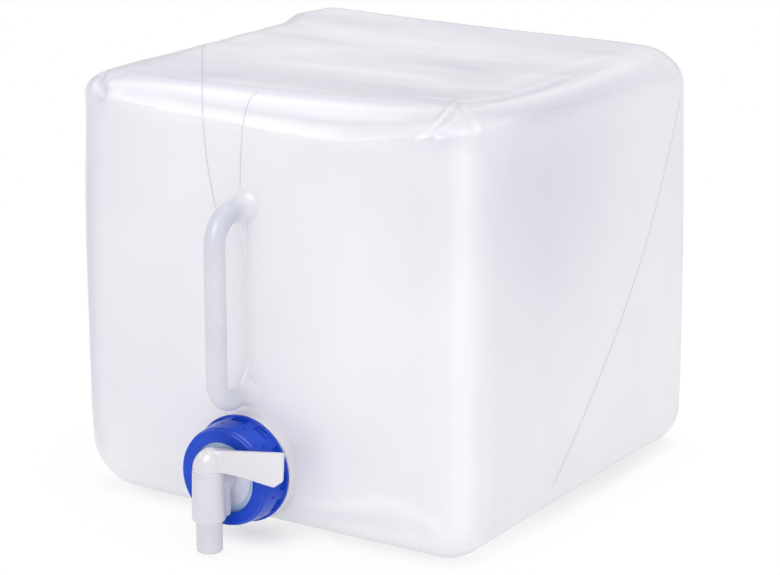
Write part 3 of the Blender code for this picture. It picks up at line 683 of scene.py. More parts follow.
# %% Folds: pixels, half width and height in millimetres
FOLDS = (
    (((126, 89), (160, 92), (202, 99), (245, 106), (290, 113), (327, 118), (390, 121), (430, 117)),
     5.6, -1.3),
    (((108, 90), (125, 99), (150, 108), (180, 117)), 2.4, 1.0),
    (((455, 101), (447, 112), (437, 126), (424, 139)), 2.8, 1.6),
    (((462, 103), (458, 113), (450, 122), (430, 136)), 2.0, 0.7),
    (((464, 104), (474, 117), (480, 130), (477, 142), (466, 152)), 2.4, 0.95),
    (((459, 100), (455, 108), (447, 119), (436, 131)), 1.8, -0.9),
    (((463, 103), (469, 115), (474, 128), (470, 142)), 2.2, -0.6),
    (((445, 140), (436, 150), (420, 158)), 3.0, 0.4),
    (((455, 107), (459, 112), (461, 118)), 1.3, 0.9),
    (((450, 128), (444, 137), (436, 146)), 1.6, 0.5),
    (((471, 134), (469, 144), (463, 150)), 1.8, 0.25),
    (((415, 97), (435, 99), (460, 101)), 3.2, -0.5),
    (((462, 102), (495, 98), (523, 93), (567, 78)), 2.6, -1.3),
    (((478, 108), (523, 99), (573, 86), (615, 70), (648, 55)), 4.5, 1.0),
    (((490, 116), (573, 101), (623, 83), (667, 67)), 6.5, -1.2),
    (((104, 72), (101, 80), (102, 87), (106, 95)), 1.8, -1.8),
    (((98, 78), (94, 86), (92, 94)), 2.2, 1.0),
    (((113, 80), (108, 88), (112, 97), (122, 103)), 2.4, 1.2),
    (((94, 97), (101, 102), (107, 98)), 2.0, -1.0),
    (((268, 27), (276, 24), (284, 20), (292, 18)), 2.4, -0.8),
    (((245, 203), (246, 206), (249, 212), (252, 222)), 9.0, 1.3),
    (((236, 193), (244, 198), (254, 206), (265, 216)), 4.5, 0.9),
    (((248, 394), (249, 391), (252, 382)), 8.0, 1.2),
    (((247, 215), (247, 255), (247, 300), (248, 345), (249, 385)), 2.2, 1.3),
    (((300, 504), (340, 507), (385, 503), (425, 520), (452, 540)), 3.5, 0.7),
    (((320, 516), (360, 519), (400, 530), (436, 546)), 3.5, -0.8),
    (((414, 510), (430, 521), (440, 527)), 2.0, 0.8),
    (((452, 530), (462, 539), (470, 541)), 2.0, 0.9),
    (((100, 440), (112, 457), (126, 468), (150, 476)), 3.5, 0.8),
)
FOLD_END_SHARE = 0.12
FOLD_TAPER_POWER = 0.8


def folded(points):
    tree = skin_tree(points)
    lift = np.zeros(len(points))
    for pixels, width, height in FOLDS:
        lift += height * MM * near_line(points, tree, pixels, width, FOLD_END_SHARE, FOLD_TAPER_POWER)
    return points + skin_normals(points) * lift[:, None]


skin_points = folded(skin_points)
print("deepest and highest fold in mm:", min(f[2] for f in FOLDS), max(f[2] for f in FOLDS))

# %% [markdown]
# Blown film isn't equally thick. It is thinnest along the upright edges and at the foot, where it was
# stretched furthest, and those places look lighter; the lighter upright edges are also a painted
# highlight, and the lighter foot is also painted light. In the middle of the walls it is thicker and
# takes a violet tint. The same value carries painted shade and light as well: darker high on the right
# face, in the valleys of folds, along the left edge and beside the cap, lighter on fold ridges and low
# on the walls. A value at each grid point holds all this, from 0 for thin and light to 1 for thick and
# dark.

# %% Depth of the film
# Each spot is: place as shares of the half sizes, reach in millimetres, and change in depth and painted
# shade.
# Each streak is: pixels, half width in millimetres, and change in depth and painted shade.
# The spots paint shade high on the right face, on the left of the front and on the top's left, and light
# low on the walls.
PAINTED_LIGHT_SHADE_AND_DEPTH_SPOTS = (
    ((1.0, -0.66, 0.72), 40, 0.34), ((1.0, -0.40, 0.70), 44, 0.24), ((1.0, -0.10, 0.62), 44, 0.20),
    ((1.0, -0.62, 0.30), 40, 0.16), ((1.0, -0.15, 0.25), 60, 0.16), ((1.0, 0.7, -0.3), 90, -0.18),
    ((1.0, -0.2, -0.7), 70, -0.14), ((-0.2, -1.0, 0.25), 90, -0.10), ((0.55, -1.0, -0.1), 70, -0.14),
    ((-0.9, -1.0, 0.55), 45, 0.15), ((-0.8, -1.0, -0.9), 40, -0.2), ((0.45, -1.0, -0.55), 22, 0.12),
    ((0.5, -1.0, -0.95), 60, -0.1), ((-0.75, -0.6, 1.0), 50, 0.25),
)
PAINTED_SHADE_HIGHLIGHT_AND_DEPTH_STREAKS = (
    # Along the front band: painted shade in its valley and upper edge, painted highlight along its
    # ridges.
    (((130, 92), (175, 94), (202, 100), (245, 107), (290, 114), (327, 120), (390, 121), (424, 117)),
     4.2, 0.34),
    (((118, 78), (150, 79), (202, 83), (265, 91), (340, 98), (402, 103), (445, 104)), 5.0, 0.50),
    (((116, 82), (150, 85), (202, 90), (265, 98), (340, 106), (402, 110), (440, 111)), 3.6, -0.26),
    (((109, 94), (140, 106), (190, 116), (250, 123), (302, 133), (360, 138), (407, 132), (435, 122)),
     4.6, -0.28),
    # The front right corner: painted shade that tones down its highlights, and a painted highlight on
    # one ridge.
    (((425, 142), (445, 137), (462, 137), (476, 140)), 8.0, 0.42),
    (((450, 112), (443, 122), (434, 132)), 2.6, 0.30),
    (((449, 107), (440, 118), (430, 129), (418, 138)), 1.7, -0.45),
    # The left edge, which faces away from the lamps: painted shade.
    (((101, 78), (103, 86), (107, 93), (100, 99)), 2.6, 0.8),
    (((88, 104), (88, 200), (90, 300), (93, 400), (98, 440)), 9.0, 0.70),
    # Streaks on the top: painted shade and light of its slack waves, besides the film's depth.
    (((280, 25), (300, 16), (343, 20), (383, 27)), 12.0, 0.30),
    (((403, 22), (473, 30), (523, 37), (590, 43), (633, 51)), 14.0, 0.32),
    (((250, 50), (290, 52), (330, 50)), 10.0, -0.20),
    (((307, 28), (340, 31), (377, 37)), 12.0, -0.22),
    (((253, 40), (287, 44)), 8.0, 0.22),
    (((397, 42), (457, 47), (490, 53)), 10.0, -0.15),
    (((150, 73), (193, 76), (240, 74), (287, 79), (330, 84), (377, 90), (423, 95), (450, 99)),
     13.0, 0.42),
    (((323, 65), (377, 73), (423, 79), (457, 88)), 8.0, -0.30),
    (((427, 62), (457, 66), (490, 74)), 9.0, 0.40),
    (((500, 88), (540, 74), (590, 61), (633, 52)), 7.0, -0.25),
    # Along the right edge of the top: painted shade in the creases, painted highlight on the ridge.
    (((463, 102), (523, 94), (567, 79), (607, 67)), 2.6, 0.45),
    (((478, 108), (523, 99), (573, 86), (615, 70), (648, 55)), 4.5, -0.25),
    (((487, 114), (530, 112), (573, 100), (623, 82), (667, 68)), 8.0, 0.45),
    # At the foot: painted highlight on the ridge, painted shade in the valley.
    (((300, 504), (340, 507), (385, 503), (425, 520), (448, 538)), 4.5, -0.20),
    (((320, 516), (360, 519), (400, 530)), 5.0, 0.20),
    # Beside the cap: painted shadow of the cap on the film.
    (((310, 440), (318, 475), (306, 500)), 8.0, 0.20),
)
MEAN_DEPTH = 0.32
# Lighter upright edges: thinner film, and a painted highlight along the edges.
EDGE_THINNING_AND_PAINTED_HIGHLIGHT = 0.34
EDGE_THINNING_FOCUS = 9
# Lighter foot: thinner film, and painted light where the floor shades the foot.
FOOT_THINNING_AND_PAINTED_LIGHT = 0.22
STREAK_END_SHARE = 0.1
STREAK_TAPER_POWER = 0.7
DEPTH_WAVE = 0.12
DEPTH_WAVES = (0.05, 0.05, 0.16)


def film_depth_painted_shade_and_highlight(points, tree):
    # Film thickness together with painted shade and highlight, from 0 for thin and light to 1 for thick
    # and dark.
    upright = (2 * np.abs(lean[:, 0] * lean[:, 1])) ** EDGE_THINNING_FOCUS
    foot = (2 * np.hypot(lean[:, 0], lean[:, 1]) * np.clip(-lean[:, 2], 0, 1)) ** 2
    depth = np.full(len(points), MEAN_DEPTH) - EDGE_THINNING_AND_PAINTED_HIGHLIGHT * upright - FOOT_THINNING_AND_PAINTED_LIGHT * foot
    for place, reach, change in PAINTED_LIGHT_SHADE_AND_DEPTH_SPOTS:
        gap = np.linalg.norm(points - middle - np.array(place) * half, axis=1)
        depth += change * np.exp(-(gap / (reach * MM)) ** 2)
    for pixels, width, change in PAINTED_SHADE_HIGHLIGHT_AND_DEPTH_STREAKS:
        depth += change * near_line(points, tree, pixels, width, STREAK_END_SHARE, STREAK_TAPER_POWER)
    depth += DEPTH_WAVE * slow_waves(points, DEPTH_WAVES, 7)
    return np.clip(depth, 0, 1)


# %% Vertex values and finished objects
def vertex_places(mesh):
    places = np.zeros(len(mesh.vertices) * 3)
    mesh.vertices.foreach_get("co", places)
    return places.reshape(-1, 3)


def give_value(mesh, name, values):
    """Keeps one number for each vertex, which the material reads by its name."""
    mesh.attributes.new(name, "FLOAT", "POINT").data.foreach_set("value", values)


def new_object(name, mesh, material_name, body, smooth_angle=None):
    """A finished mesh in world coordinates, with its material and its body."""
    obj = bpy.data.objects.new(name, mesh)
    bpy.context.scene.collection.objects.link(obj)
    mesh.materials.clear()
    mesh.materials.append(plastics[material_name])
    mesh.polygons.foreach_set("use_smooth", [True] * len(mesh.polygons))
    if smooth_angle is not None:
        mesh.set_sharp_from_angle(angle=math.radians(smooth_angle))
    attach(obj, body)
    return obj


# %% The skin as a mesh
NECK_WALL = 3.0 * MM
neck_axis = Vector(joints["cap_unscrew"]["pos_m"])
neck_low, neck_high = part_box("threaded_neck")
washer_low, washer_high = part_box("flange_washer")
NECK_X, NECK_Z = neck_axis.x, neck_axis.z
BOSS_RADIUS = (neck_high.x - neck_low.x) / 2
NECK_RADIUS = (washer_high.x - washer_low.x) / 2
NECK_BORE_RADIUS = NECK_RADIUS - NECK_WALL


def from_neck_axis(points):
    return np.hypot(points[:, 0] - NECK_X, points[:, 2] - NECK_Z)


in_mouth = (from_neck_axis(skin_points) < NECK_BORE_RADIUS) & (skin_points[:, 1] < middle[1])
skin_mesh = bpy.data.meshes.new("film_box")
skin_mesh.from_pydata(skin_points.tolist(), [], quads[~in_mouth[quads].all(axis=1)].tolist())
final_tree = skin_tree(skin_points)
give_value(skin_mesh, "film_depth_painted_shade_and_highlight", film_depth_painted_shade_and_highlight(skin_points, final_tree))
film_box = new_object("film_box", skin_mesh, "film_plastic", "container")
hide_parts(*WALL_NODES)
print("film box:", len(skin_mesh.polygons), "faces, mouth of", round(NECK_BORE_RADIUS / MM, 1), "mm")

# %% [markdown]
# ## The parting lines
#
# Where the halves of the mould met, the film carries a hair-thin raised line. One runs over the left
# side of the top and down to the handle, a short one stands above the handle, and a long one crosses
# the right face. Each is a fine bead laid half sunk on the skin, so that it also throws a tiny shadow.
# The bead is swept: rings of points stand along its path, and faces join each ring to the next. Most
# pieces below are made of such rings, so they share the helper that joins them.


# %% Joining rings of points
def skinned(rings, closed=False):
    """Faces from each ring of points to the next and across open ends; a ring of one point is a tip."""
    bm = bmesh.new()
    sides = max(len(ring) for ring in rings)
    made = []
    for ring in rings:
        verts = [bm.verts.new(point) for point in ring]
        made.append(verts * sides if len(verts) == 1 else verts)
    pairs = list(zip(made, made[1:]))
    if closed:
        pairs.append((made[-1], made[0]))
    for ring, following in pairs:
        for side in range(sides):
            nearby = (side + 1) % sides
            corners = []
            for vert in (ring[side], ring[nearby], following[nearby], following[side]):
                if vert not in corners:
                    corners.append(vert)
            if len(corners) > 2:
                bm.faces.new(corners)
    if not closed:
        for end in (made[0], made[-1]):
            if len(set(end)) > 2:
                bm.faces.new(end)
    bmesh.ops.recalc_face_normals(bm, faces=bm.faces)
    return bm


# %% Parting lines
BEAD_RADIUS = 0.36 * MM
BEAD_SIDES = 6
BEAD_RISE_SHARE = 0.2
BEAD_END_SHARE = 0.25
LEFT_LINE = ((220.5, 42), (209, 44.6), (203, 46.5), (202, 68), (202, 90), (203, 120), (207, 160),
             (214, 200), (216, 208))
SHORT_LINE = ((258, 92), (251, 98), (246, 110), (242.5, 130), (240.5, 160), (240, 190))
# The right line isn't in pixels: it lies on the right face, as (y, z) in shares of the box's height.
RIGHT_LINE_SHARES = ((0.448, 0.880), (0.428, 0.840), (0.391, 0.763), (0.288, 0.592), (0.146, 0.409),
                     (0.006, 0.254), (-0.108, 0.138), (-0.150, 0.100))
RIGHT_LINE_SHIFT = -0.018


# The bead's plastic is a darker grey than the film: partly thicker plastic, partly painted shade of the
# crease.
def bead(name, path, normals):
    """A thin round bead that lies along a path on the skin and tapers off at both ends."""
    rings = []
    last = len(path) - 1
    for number, (place, out) in enumerate(zip(path, normals)):
        forward = Vector(path[min(number + 1, last)] - path[max(number - 1, 0)]).normalized()
        out = Vector(out)
        side = forward.cross(out).normalized()
        taper = min(1.0, BEAD_END_SHARE * (1 + min(number, last - number)))
        ring = []
        for corner in range(BEAD_SIDES):
            angle = math.tau * corner / BEAD_SIDES
            offset = (side * math.cos(angle) + out * math.sin(angle)) * BEAD_RADIUS * taper
            ring.append(Vector(place) + out * BEAD_RADIUS * BEAD_RISE_SHARE + offset)
        rings.append(ring)
    return new_object(name, finished(skinned(rings), name), "line_plastic_with_painted_shade", "container")


def on_right_face(tree, shares):
    """Points of the skin, and its normals there, that rays from the right find."""
    hits = []
    start_x = middle[0] + 2 * half[0]
    for y, z in smooth_path(shares):
        start = Vector((start_x, (y + RIGHT_LINE_SHIFT) * skin_high[2], z * skin_high[2]))
        hits.append(tree.ray_cast(start, Vector((-1, 0, 0)))[:2])
    return [np.array(found) for found in zip(*hits)]


parting_lines = [
    bead("left_parting_line", *on_skin(final_tree, smooth_path(LEFT_LINE))),
    bead("short_parting_line", *on_skin(final_tree, smooth_path(SHORT_LINE))),
    bead("right_parting_line", *on_right_face(final_tree, RIGHT_LINE_SHARES)),
]
for obj in [film_box] + parting_lines:
    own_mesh(obj)

# %% [markdown]
# ## Turned pieces
#
# The neck, the washer, the cap and the tap are round, so most of their forms come from an outline that
# is turned about an axis, as on a lathe. An outline's points are (radius, height, rounding), where the
# rounding is in millimetres. For the pieces on the neck, the height is the distance in front of the
# face. Corners are rounded in the outline, because that costs nothing and no edge is left out.

# %% Turning an outline
CORNER_STEPS = 5
ON_AXIS = 1e-7


def mix(a, b, share):
    return (a[0] + (b[0] - a[0]) * share, a[1] + (b[1] - a[1]) * share)


def round_corners(outline, closed):
    """Replaces each corner that has a rounding by a few points of a soft curve."""
    points = []
    count = len(outline)
    for number, (x, y, rounding) in enumerate(outline):
        if rounding == 0 or (not closed and number in (0, count - 1)):
            points.append((x, y))
            continue
        before, after = outline[number - 1][:2], outline[(number + 1) % count][:2]
        first = min(0.5, rounding * MM / max(math.dist(before, (x, y)), TINY))
        last = min(0.5, rounding * MM / max(math.dist(after, (x, y)), TINY))
        start, end = mix((x, y), before, first), mix((x, y), after, last)
        for step in range(CORNER_STEPS + 1):
            t = step / CORNER_STEPS
            points.append(mix(mix(start, (x, y), t), mix((x, y), end, t), t))
    return points


def turned(name, outline, steps, closed=True):
    """An outline turned about Z; one that isn't closed begins and ends on the axis."""
    rings = []
    for radius, height in round_corners(outline, closed):
        angles = [math.tau * step / steps for step in range(steps)]
        ring = [(radius * math.cos(angle), radius * math.sin(angle), height) for angle in angles]
        rings.append(ring[:1] if radius < ON_AXIS else ring)
    return finished(skinned(rings, closed), name)


def placed(mesh, matrix):
    mesh.transform(matrix)
    return mesh


def turned_solid(name, outline, steps, matrix):
    """A turned piece without a hole: flat ends close it on the axis."""
    first, last = (0, outline[0][1], 0), (0, outline[-1][1], 0)
    return placed(turned(name, (first, *outline, last), steps, closed=False), matrix)


OUT_OF_FACE = Matrix.Translation((NECK_X, FACE_Y, NECK_Z)) @ Matrix.Rotation(math.pi / 2, 4, "X")
print("neck axis at", [round(v / MM, 1) for v in neck_axis], "mm")


# %% Joining, cutting and melting
def joined(meshes):
    bm = bmesh.new()
    for mesh in meshes:
        bm.from_mesh(mesh)
    return finished(bm, "joined")


def scratch(mesh):
    obj = bpy.data.objects.new("scratch", mesh)
    bpy.context.scene.collection.objects.link(obj)
    return obj


def settled(obj):
    """The mesh of an object with its modifiers applied; the object is removed."""
    bpy.context.view_layer.update()
    graph = bpy.context.evaluated_depsgraph_get()
    mesh = bpy.data.meshes.new_from_object(obj.evaluated_get(graph))
    bpy.data.objects.remove(obj)
    return mesh


def carved(mesh, tools, operation="DIFFERENCE"):
    """The mesh after each tool mesh is cut from it, or joined to it."""
    target = scratch(mesh)
    helpers = [scratch(tool) for tool in tools]
    for helper in helpers:
        helper.hide_render = True
        step = target.modifiers.new("carve", "BOOLEAN")
        step.operation = operation
        step.solver = "EXACT"
        step.object = helper
    result = settled(target)
    for helper in helpers:
        bpy.data.objects.remove(helper)
    return result


def melted(meshes, voxel, smoothing):
    """Overlapping closed shapes melted into one skin, with soft hollows where they meet."""
    obj = scratch(joined(meshes))
    melt = obj.modifiers.new("melt", "REMESH")
    melt.mode = "VOXEL"
    melt.voxel_size = voxel
    smooth = obj.modifiers.new("smooth", "SMOOTH")
    smooth.factor = 0.5
    smooth.iterations = smoothing
    return settled(obj)


# %% [markdown]
# The screw threads of the neck and the cap are ridges that climb round the axis. Their pitch comes from
# the joint: the cap's travel divided by its number of turns. Each ridge has a wide base and a narrow
# crest, and it runs out to nothing at both ends, as a moulded thread does.

# %% A ridge that climbs round the axis
THREAD_PITCH = joints["cap_draw"]["range_m"][1] / (joints["cap_unscrew"]["range_deg"][1] / 360)
THREAD_HEIGHT = 1.8 * MM
THREAD_BASE = 2.2 * MM
THREAD_CREST = 1.0 * MM
THREAD_SINK = 0.4 * MM
THREAD_FLANK = THREAD_CREST / 2 + (THREAD_BASE - THREAD_CREST) * 0.35
THREAD_PLAY = 0.6 * MM
THREAD_END_SHARE = 0.1
THREAD_RUN_OUT = 0.28
THREAD_STEPS = 72


def thread(name, root_radius, crest_radius, start, turns):
    """A screw ridge from root to crest radius, which climbs by the pitch at each turn."""
    sink = math.copysign(THREAD_SINK, root_radius - crest_radius)
    steps = round(THREAD_STEPS * turns)
    rings = []
    for step in range(steps + 1):
        angle = math.tau * turns * step / steps
        rise = start + THREAD_PITCH * turns * step / steps
        taper = min(1, THREAD_END_SHARE + min(step, steps - step) / THREAD_STEPS / THREAD_RUN_OUT)
        top = root_radius + (crest_radius - root_radius) * taper
        waist = (root_radius + top) / 2
        section = (
            (root_radius + sink, -THREAD_BASE / 2), (root_radius + sink, THREAD_BASE / 2),
            (waist, THREAD_FLANK), (top, THREAD_CREST / 2),
            (top, -THREAD_CREST / 2), (waist, -THREAD_FLANK),
        )
        rings.append([(radius * math.cos(angle), radius * math.sin(angle), rise + height)
                      for radius, height in section])
    return finished(skinned(rings), name)


print("thread pitch in mm, from the travel of the cap:", round(THREAD_PITCH / MM, 2))

# %% [markdown]
# ## The neck
#
# The neck is moulded with the box. A wide, low boss stands on the face, and a thinner, threaded tube
# goes on from it into the cap. On the real one the boss runs into the film with a soft hollow, so the
# outline flares out at its foot. The foot goes a little way behind the face, where the film meets it.

# %% Neck
NECK_REACH = FACE_Y - neck_low.y
BOSS_HEIGHT = 8.0 * MM
BOSS_SINK = 5.0 * MM
BOSS_TAPER = 0.3 * MM
BOSS_FLARE = 1.6 * MM
FLARE_HEIGHT = 0.2 * MM
FLARE_SINK = 2.6 * MM
THREAD_START = BOSS_HEIGHT + 4.0 * MM
NECK_TURNS = 1.5

neck_shell = turned("neck_shell", (
    (NECK_BORE_RADIUS, NECK_REACH, 0.4), (NECK_RADIUS, NECK_REACH, 0.5),
    (NECK_RADIUS, BOSS_HEIGHT, 0.8), (BOSS_RADIUS - BOSS_TAPER, BOSS_HEIGHT, 2.2),
    (BOSS_RADIUS, FLARE_HEIGHT, 2.4), (BOSS_RADIUS + BOSS_FLARE, -FLARE_SINK, 1.0),
    (BOSS_RADIUS, -BOSS_SINK, 0), (NECK_BORE_RADIUS, -BOSS_SINK, 0),
), 128)
neck_ridge = thread("neck_ridge", NECK_RADIUS, NECK_RADIUS + THREAD_HEIGHT, THREAD_START, NECK_TURNS)
neck_mesh = placed(carved(neck_shell, [neck_ridge], "UNION"), OUT_OF_FACE)
neck = new_object("neck", neck_mesh, "neck_plastic", "container", 32)
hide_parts("threaded_neck")
print("neck reaches", round(NECK_REACH / MM, 1), "mm, boss radius", round(BOSS_RADIUS / MM, 1), "mm")

# %% [markdown]
# ## The washer
#
# A flat ring of soft rubber lies between the neck's rim and the tap's flange. It is hidden while the
# cap is on. When the cap comes off it moves out with the tap, so it is a piece of its own.

# %% Washer
WASHER_FRONT = FACE_Y - washer_low.y
WASHER_REAR = FACE_Y - washer_high.y
WASHER_BORE_RADIUS = 17.6 * MM
WASHER_ROUNDING = 0.5

washer_mesh = turned("washer", [
    (radius, out, WASHER_ROUNDING) for radius, out in (
        (WASHER_BORE_RADIUS, WASHER_FRONT), (NECK_RADIUS, WASHER_FRONT),
        (NECK_RADIUS, WASHER_REAR), (WASHER_BORE_RADIUS, WASHER_REAR))], 96)
washer = new_object("washer", placed(washer_mesh, OUT_OF_FACE), "washer_rubber", "washer",
                    40)
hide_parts("flange_washer")
print("washer from", round(WASHER_REAR / MM, 2), "to", round(WASHER_FRONT / MM, 2), "mm out of the face")

# %% [markdown]
# ## The screw cap
#
# The blue cap is a short cone with a flat ring in front, a small step behind the ring, a thin rim at
# its back and twelve shallow finger pockets just in front of the rim. Between the pockets stand tiny
# dimples, where the pins of the mould were. All edges are softly rounded, because the bright line on
# the front ring comes from that rounding. The pockets are cut with rounded blocks, so each has a floor
# and four walls.

# %% Cap outline
cap_low, cap_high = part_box("screw_cap")
CAP_FRONT = FACE_Y - cap_low.y
CAP_REAR = FACE_Y - cap_high.y
CAP_RIM_RADIUS = (cap_high.x - cap_low.x) / 2
CAP_RIM_THICKNESS = 2.2 * MM
CAP_LIP = 3.4 * MM
CAP_HOLD = 3.4 * MM
CAP_BORE_RADIUS = NECK_RADIUS + THREAD_HEIGHT + THREAD_PLAY
CAP_HOLE_RADIUS = NECK_RADIUS - CAP_HOLD
CONE_FRONT_RADIUS = CAP_BORE_RADIUS + 2.1 * MM
CONE_REAR_RADIUS = CAP_BORE_RADIUS + 4.4 * MM
RING_RADIUS = CONE_FRONT_RADIUS - 0.4 * MM
RING_WIDTH = 3.0 * MM
RING_STEP = 0.6 * MM
RING_GROOVE = 0.4 * MM


def cone_radius(out):
    share = (out - CAP_REAR) / (CAP_FRONT - CAP_REAR)
    return CONE_REAR_RADIUS + (CONE_FRONT_RADIUS - CONE_REAR_RADIUS) * share


rim_front = CAP_REAR + CAP_RIM_THICKNESS
ring_rear = CAP_FRONT - RING_WIDTH
lip_rear = CAP_FRONT - CAP_LIP
cap_shell = turned("cap_shell", (
    (CAP_HOLE_RADIUS, CAP_FRONT, 0.4), (RING_RADIUS, CAP_FRONT, 1.7),
    (RING_RADIUS, ring_rear + RING_STEP, 0.25),
    (cone_radius(ring_rear) - RING_STEP, ring_rear + RING_GROOVE, 0.2),
    (cone_radius(ring_rear), ring_rear, 0.3), (cone_radius(rim_front), rim_front, 0.5),
    (CAP_RIM_RADIUS, rim_front, 0.6), (CAP_RIM_RADIUS, CAP_REAR, 0.6),
    (CAP_BORE_RADIUS, CAP_REAR, 0.4), (CAP_BORE_RADIUS, lip_rear, 0.4), (CAP_HOLE_RADIUS, lip_rear, 0.3),
), 192)
print("cap from", round(CAP_REAR / MM, 1), "to", round(CAP_FRONT / MM, 1), "mm out of the face")

# %% Pockets, dimples and the cap's thread
POCKET_COUNT = 12
POCKET_SIZE = (10.5 * MM, 4.6 * MM)
POCKET_DEPTH = 1.3 * MM
POCKET_ROUNDING = 0.5 * MM
POCKET_TURN = math.radians(3)
DIMPLE_SIZE = (2.0 * MM, 2.0 * MM)
DIMPLE_DEPTH = 0.7 * MM
DIMPLE_ROUNDING = 0.6 * MM
DIMPLE_TURN = POCKET_TURN + math.pi / POCKET_COUNT
CUT_OVERRUN = 2.0 * MM
CAP_TURNS = 1.25
pocket_out = rim_front + POCKET_SIZE[1] / 2
dimple_out = CAP_FRONT - 9.9 * MM


def rounded_block(size, rounding, matrix):
    bm = bmesh.new()
    bmesh.ops.create_cube(bm, size=1)
    bmesh.ops.scale(bm, vec=size, verts=bm.verts)
    bmesh.ops.bevel(bm, geom=list(bm.edges), offset=rounding, segments=3, profile=0.5, affect="EDGES")
    return placed(finished(bm, "rounded_block"), matrix)


def around_cap(size, depth, rounding, out, turn):
    """Rounded blocks that cut into the cone; size is along the rim and along the axis."""
    radius = cone_radius(out) - depth + CUT_OVERRUN
    made = []
    for number in range(POCKET_COUNT):
        spin = Matrix.Rotation(math.pi / 2 - turn - math.tau * number / POCKET_COUNT, 4, "Z")
        place = spin @ Matrix.Translation((radius, 0, out))
        made.append(rounded_block((2 * CUT_OVERRUN, *size), rounding, place))
    return joined(made)


pockets = around_cap(POCKET_SIZE, POCKET_DEPTH, POCKET_ROUNDING, pocket_out, POCKET_TURN)
dimples = around_cap(DIMPLE_SIZE, DIMPLE_DEPTH, DIMPLE_ROUNDING, dimple_out, DIMPLE_TURN)
cap_ridge = thread("cap_ridge", CAP_BORE_RADIUS, NECK_RADIUS + THREAD_PLAY,
                   THREAD_START + THREAD_PITCH / 2, CAP_TURNS)
cap_mesh = carved(carved(cap_shell, [cap_ridge], "UNION"), [pockets, dimples])
cap = new_object("cap", placed(cap_mesh, OUT_OF_FACE), "cap_plastic", "cap", 28)
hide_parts("screw_cap")
print("cap:", len(cap_mesh.polygons), "faces,", POCKET_COUNT, "pockets and dimples")

# %% [markdown]
# ## The tap
#
# The tap body is one milky moulding. A flange behind the cap's ring holds it, a low hub with a hollow
# at its foot carries the short barrel, and the barrel ends in an upright chamber with a narrower outlet
# below. The flange and hub are crisp and turned. The barrel, the chamber and the block behind the
# chamber are melted into one skin, which gives the soft hollows that a moulding has where two forms
# meet. The water's way is cut through all of it: barrel, chamber and outlet are open inside.

# %% Flange and hub
valve_axis = Vector(joints["valve_turn"]["pos_m"])
TAP_OUT = FACE_Y - valve_axis.y
OUTLET_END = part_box("tap_body")[0].z
FLANGE_REAR = WASHER_FRONT + 0.3 * MM
FLANGE_FRONT = FLANGE_REAR + 1.6 * MM
HUB_RADIUS = 17.6 * MM
HUB_FRONT = FLANGE_FRONT + 0.7 * MM
SPIGOT_RADIUS = WASHER_BORE_RADIUS - 0.3 * MM
BARREL_RADIUS = 9.0 * MM
BARREL_BORE = 5.5 * MM
STUB_FRONT = HUB_FRONT + 3.0 * MM
STUB_TAPER = 0.2 * MM
TINT_MARGIN = 0.05 * MM

flange_mesh = placed(turned("tap_flange", (
    (BARREL_BORE, STUB_FRONT, 0), (BARREL_RADIUS - STUB_TAPER, STUB_FRONT, 0),
    (BARREL_RADIUS, HUB_FRONT, 2.2), (HUB_RADIUS, HUB_FRONT, 0.4),
    (HUB_RADIUS, FLANGE_FRONT, 0.25), (NECK_RADIUS, FLANGE_FRONT, 0.3),
    (NECK_RADIUS, FLANGE_REAR, 0.3), (SPIGOT_RADIUS, FLANGE_REAR, 0.2),
    (SPIGOT_RADIUS, WASHER_REAR, 0.3), (BARREL_BORE, WASHER_REAR, 0.3),
), 128), OUT_OF_FACE)
# Outside the hub the flange is painted bluish, as blue light bounced from the cap.
outside_hub = from_neck_axis(vertex_places(flange_mesh)) > HUB_RADIUS - TINT_MARGIN
give_value(flange_mesh, "flange_painted_blue_bounce", outside_hub.astype(float))
tap_flange = new_object("tap_flange", flange_mesh, "flange_plastic", "tap", 35)
print("tap axis", round(TAP_OUT / MM, 1), "mm out of the face")

# %% Barrel, chamber and outlet
CHAMBER_BORE = 7.2 * MM
CHAMBER_TOP = NECK_Z + BARREL_RADIUS + 0.3 * MM
CHAMBER_RIM = CHAMBER_TOP + 0.10 * MM
CHAMBER_FOOT = NECK_Z - 20.0 * MM
CHAMBER_TOP_RADIUS = CHAMBER_BORE + 2.1 * MM
CHAMBER_FOOT_RADIUS = CHAMBER_BORE + 2.7 * MM
CHAMBER_FLOOR = CHAMBER_FOOT + 4.0 * MM
CHAMBER_CHAMFER = 2.4 * MM
OUTLET_RADIUS = 7.65 * MM
OUTLET_BORE = 5.5 * MM
BARREL_START = HUB_FRONT + 1.2 * MM
SHOULDER_WIDTH = 17.4 * MM
SHOULDER_DEPTH = 10.6 * MM
SHOULDER_ROUNDING = 1.8 * MM
TAP_VOXEL = 0.42 * MM
TAP_SMOOTHING = 6
ON_TAP_AXIS = Matrix.Translation((NECK_X, FACE_Y - TAP_OUT, 0))

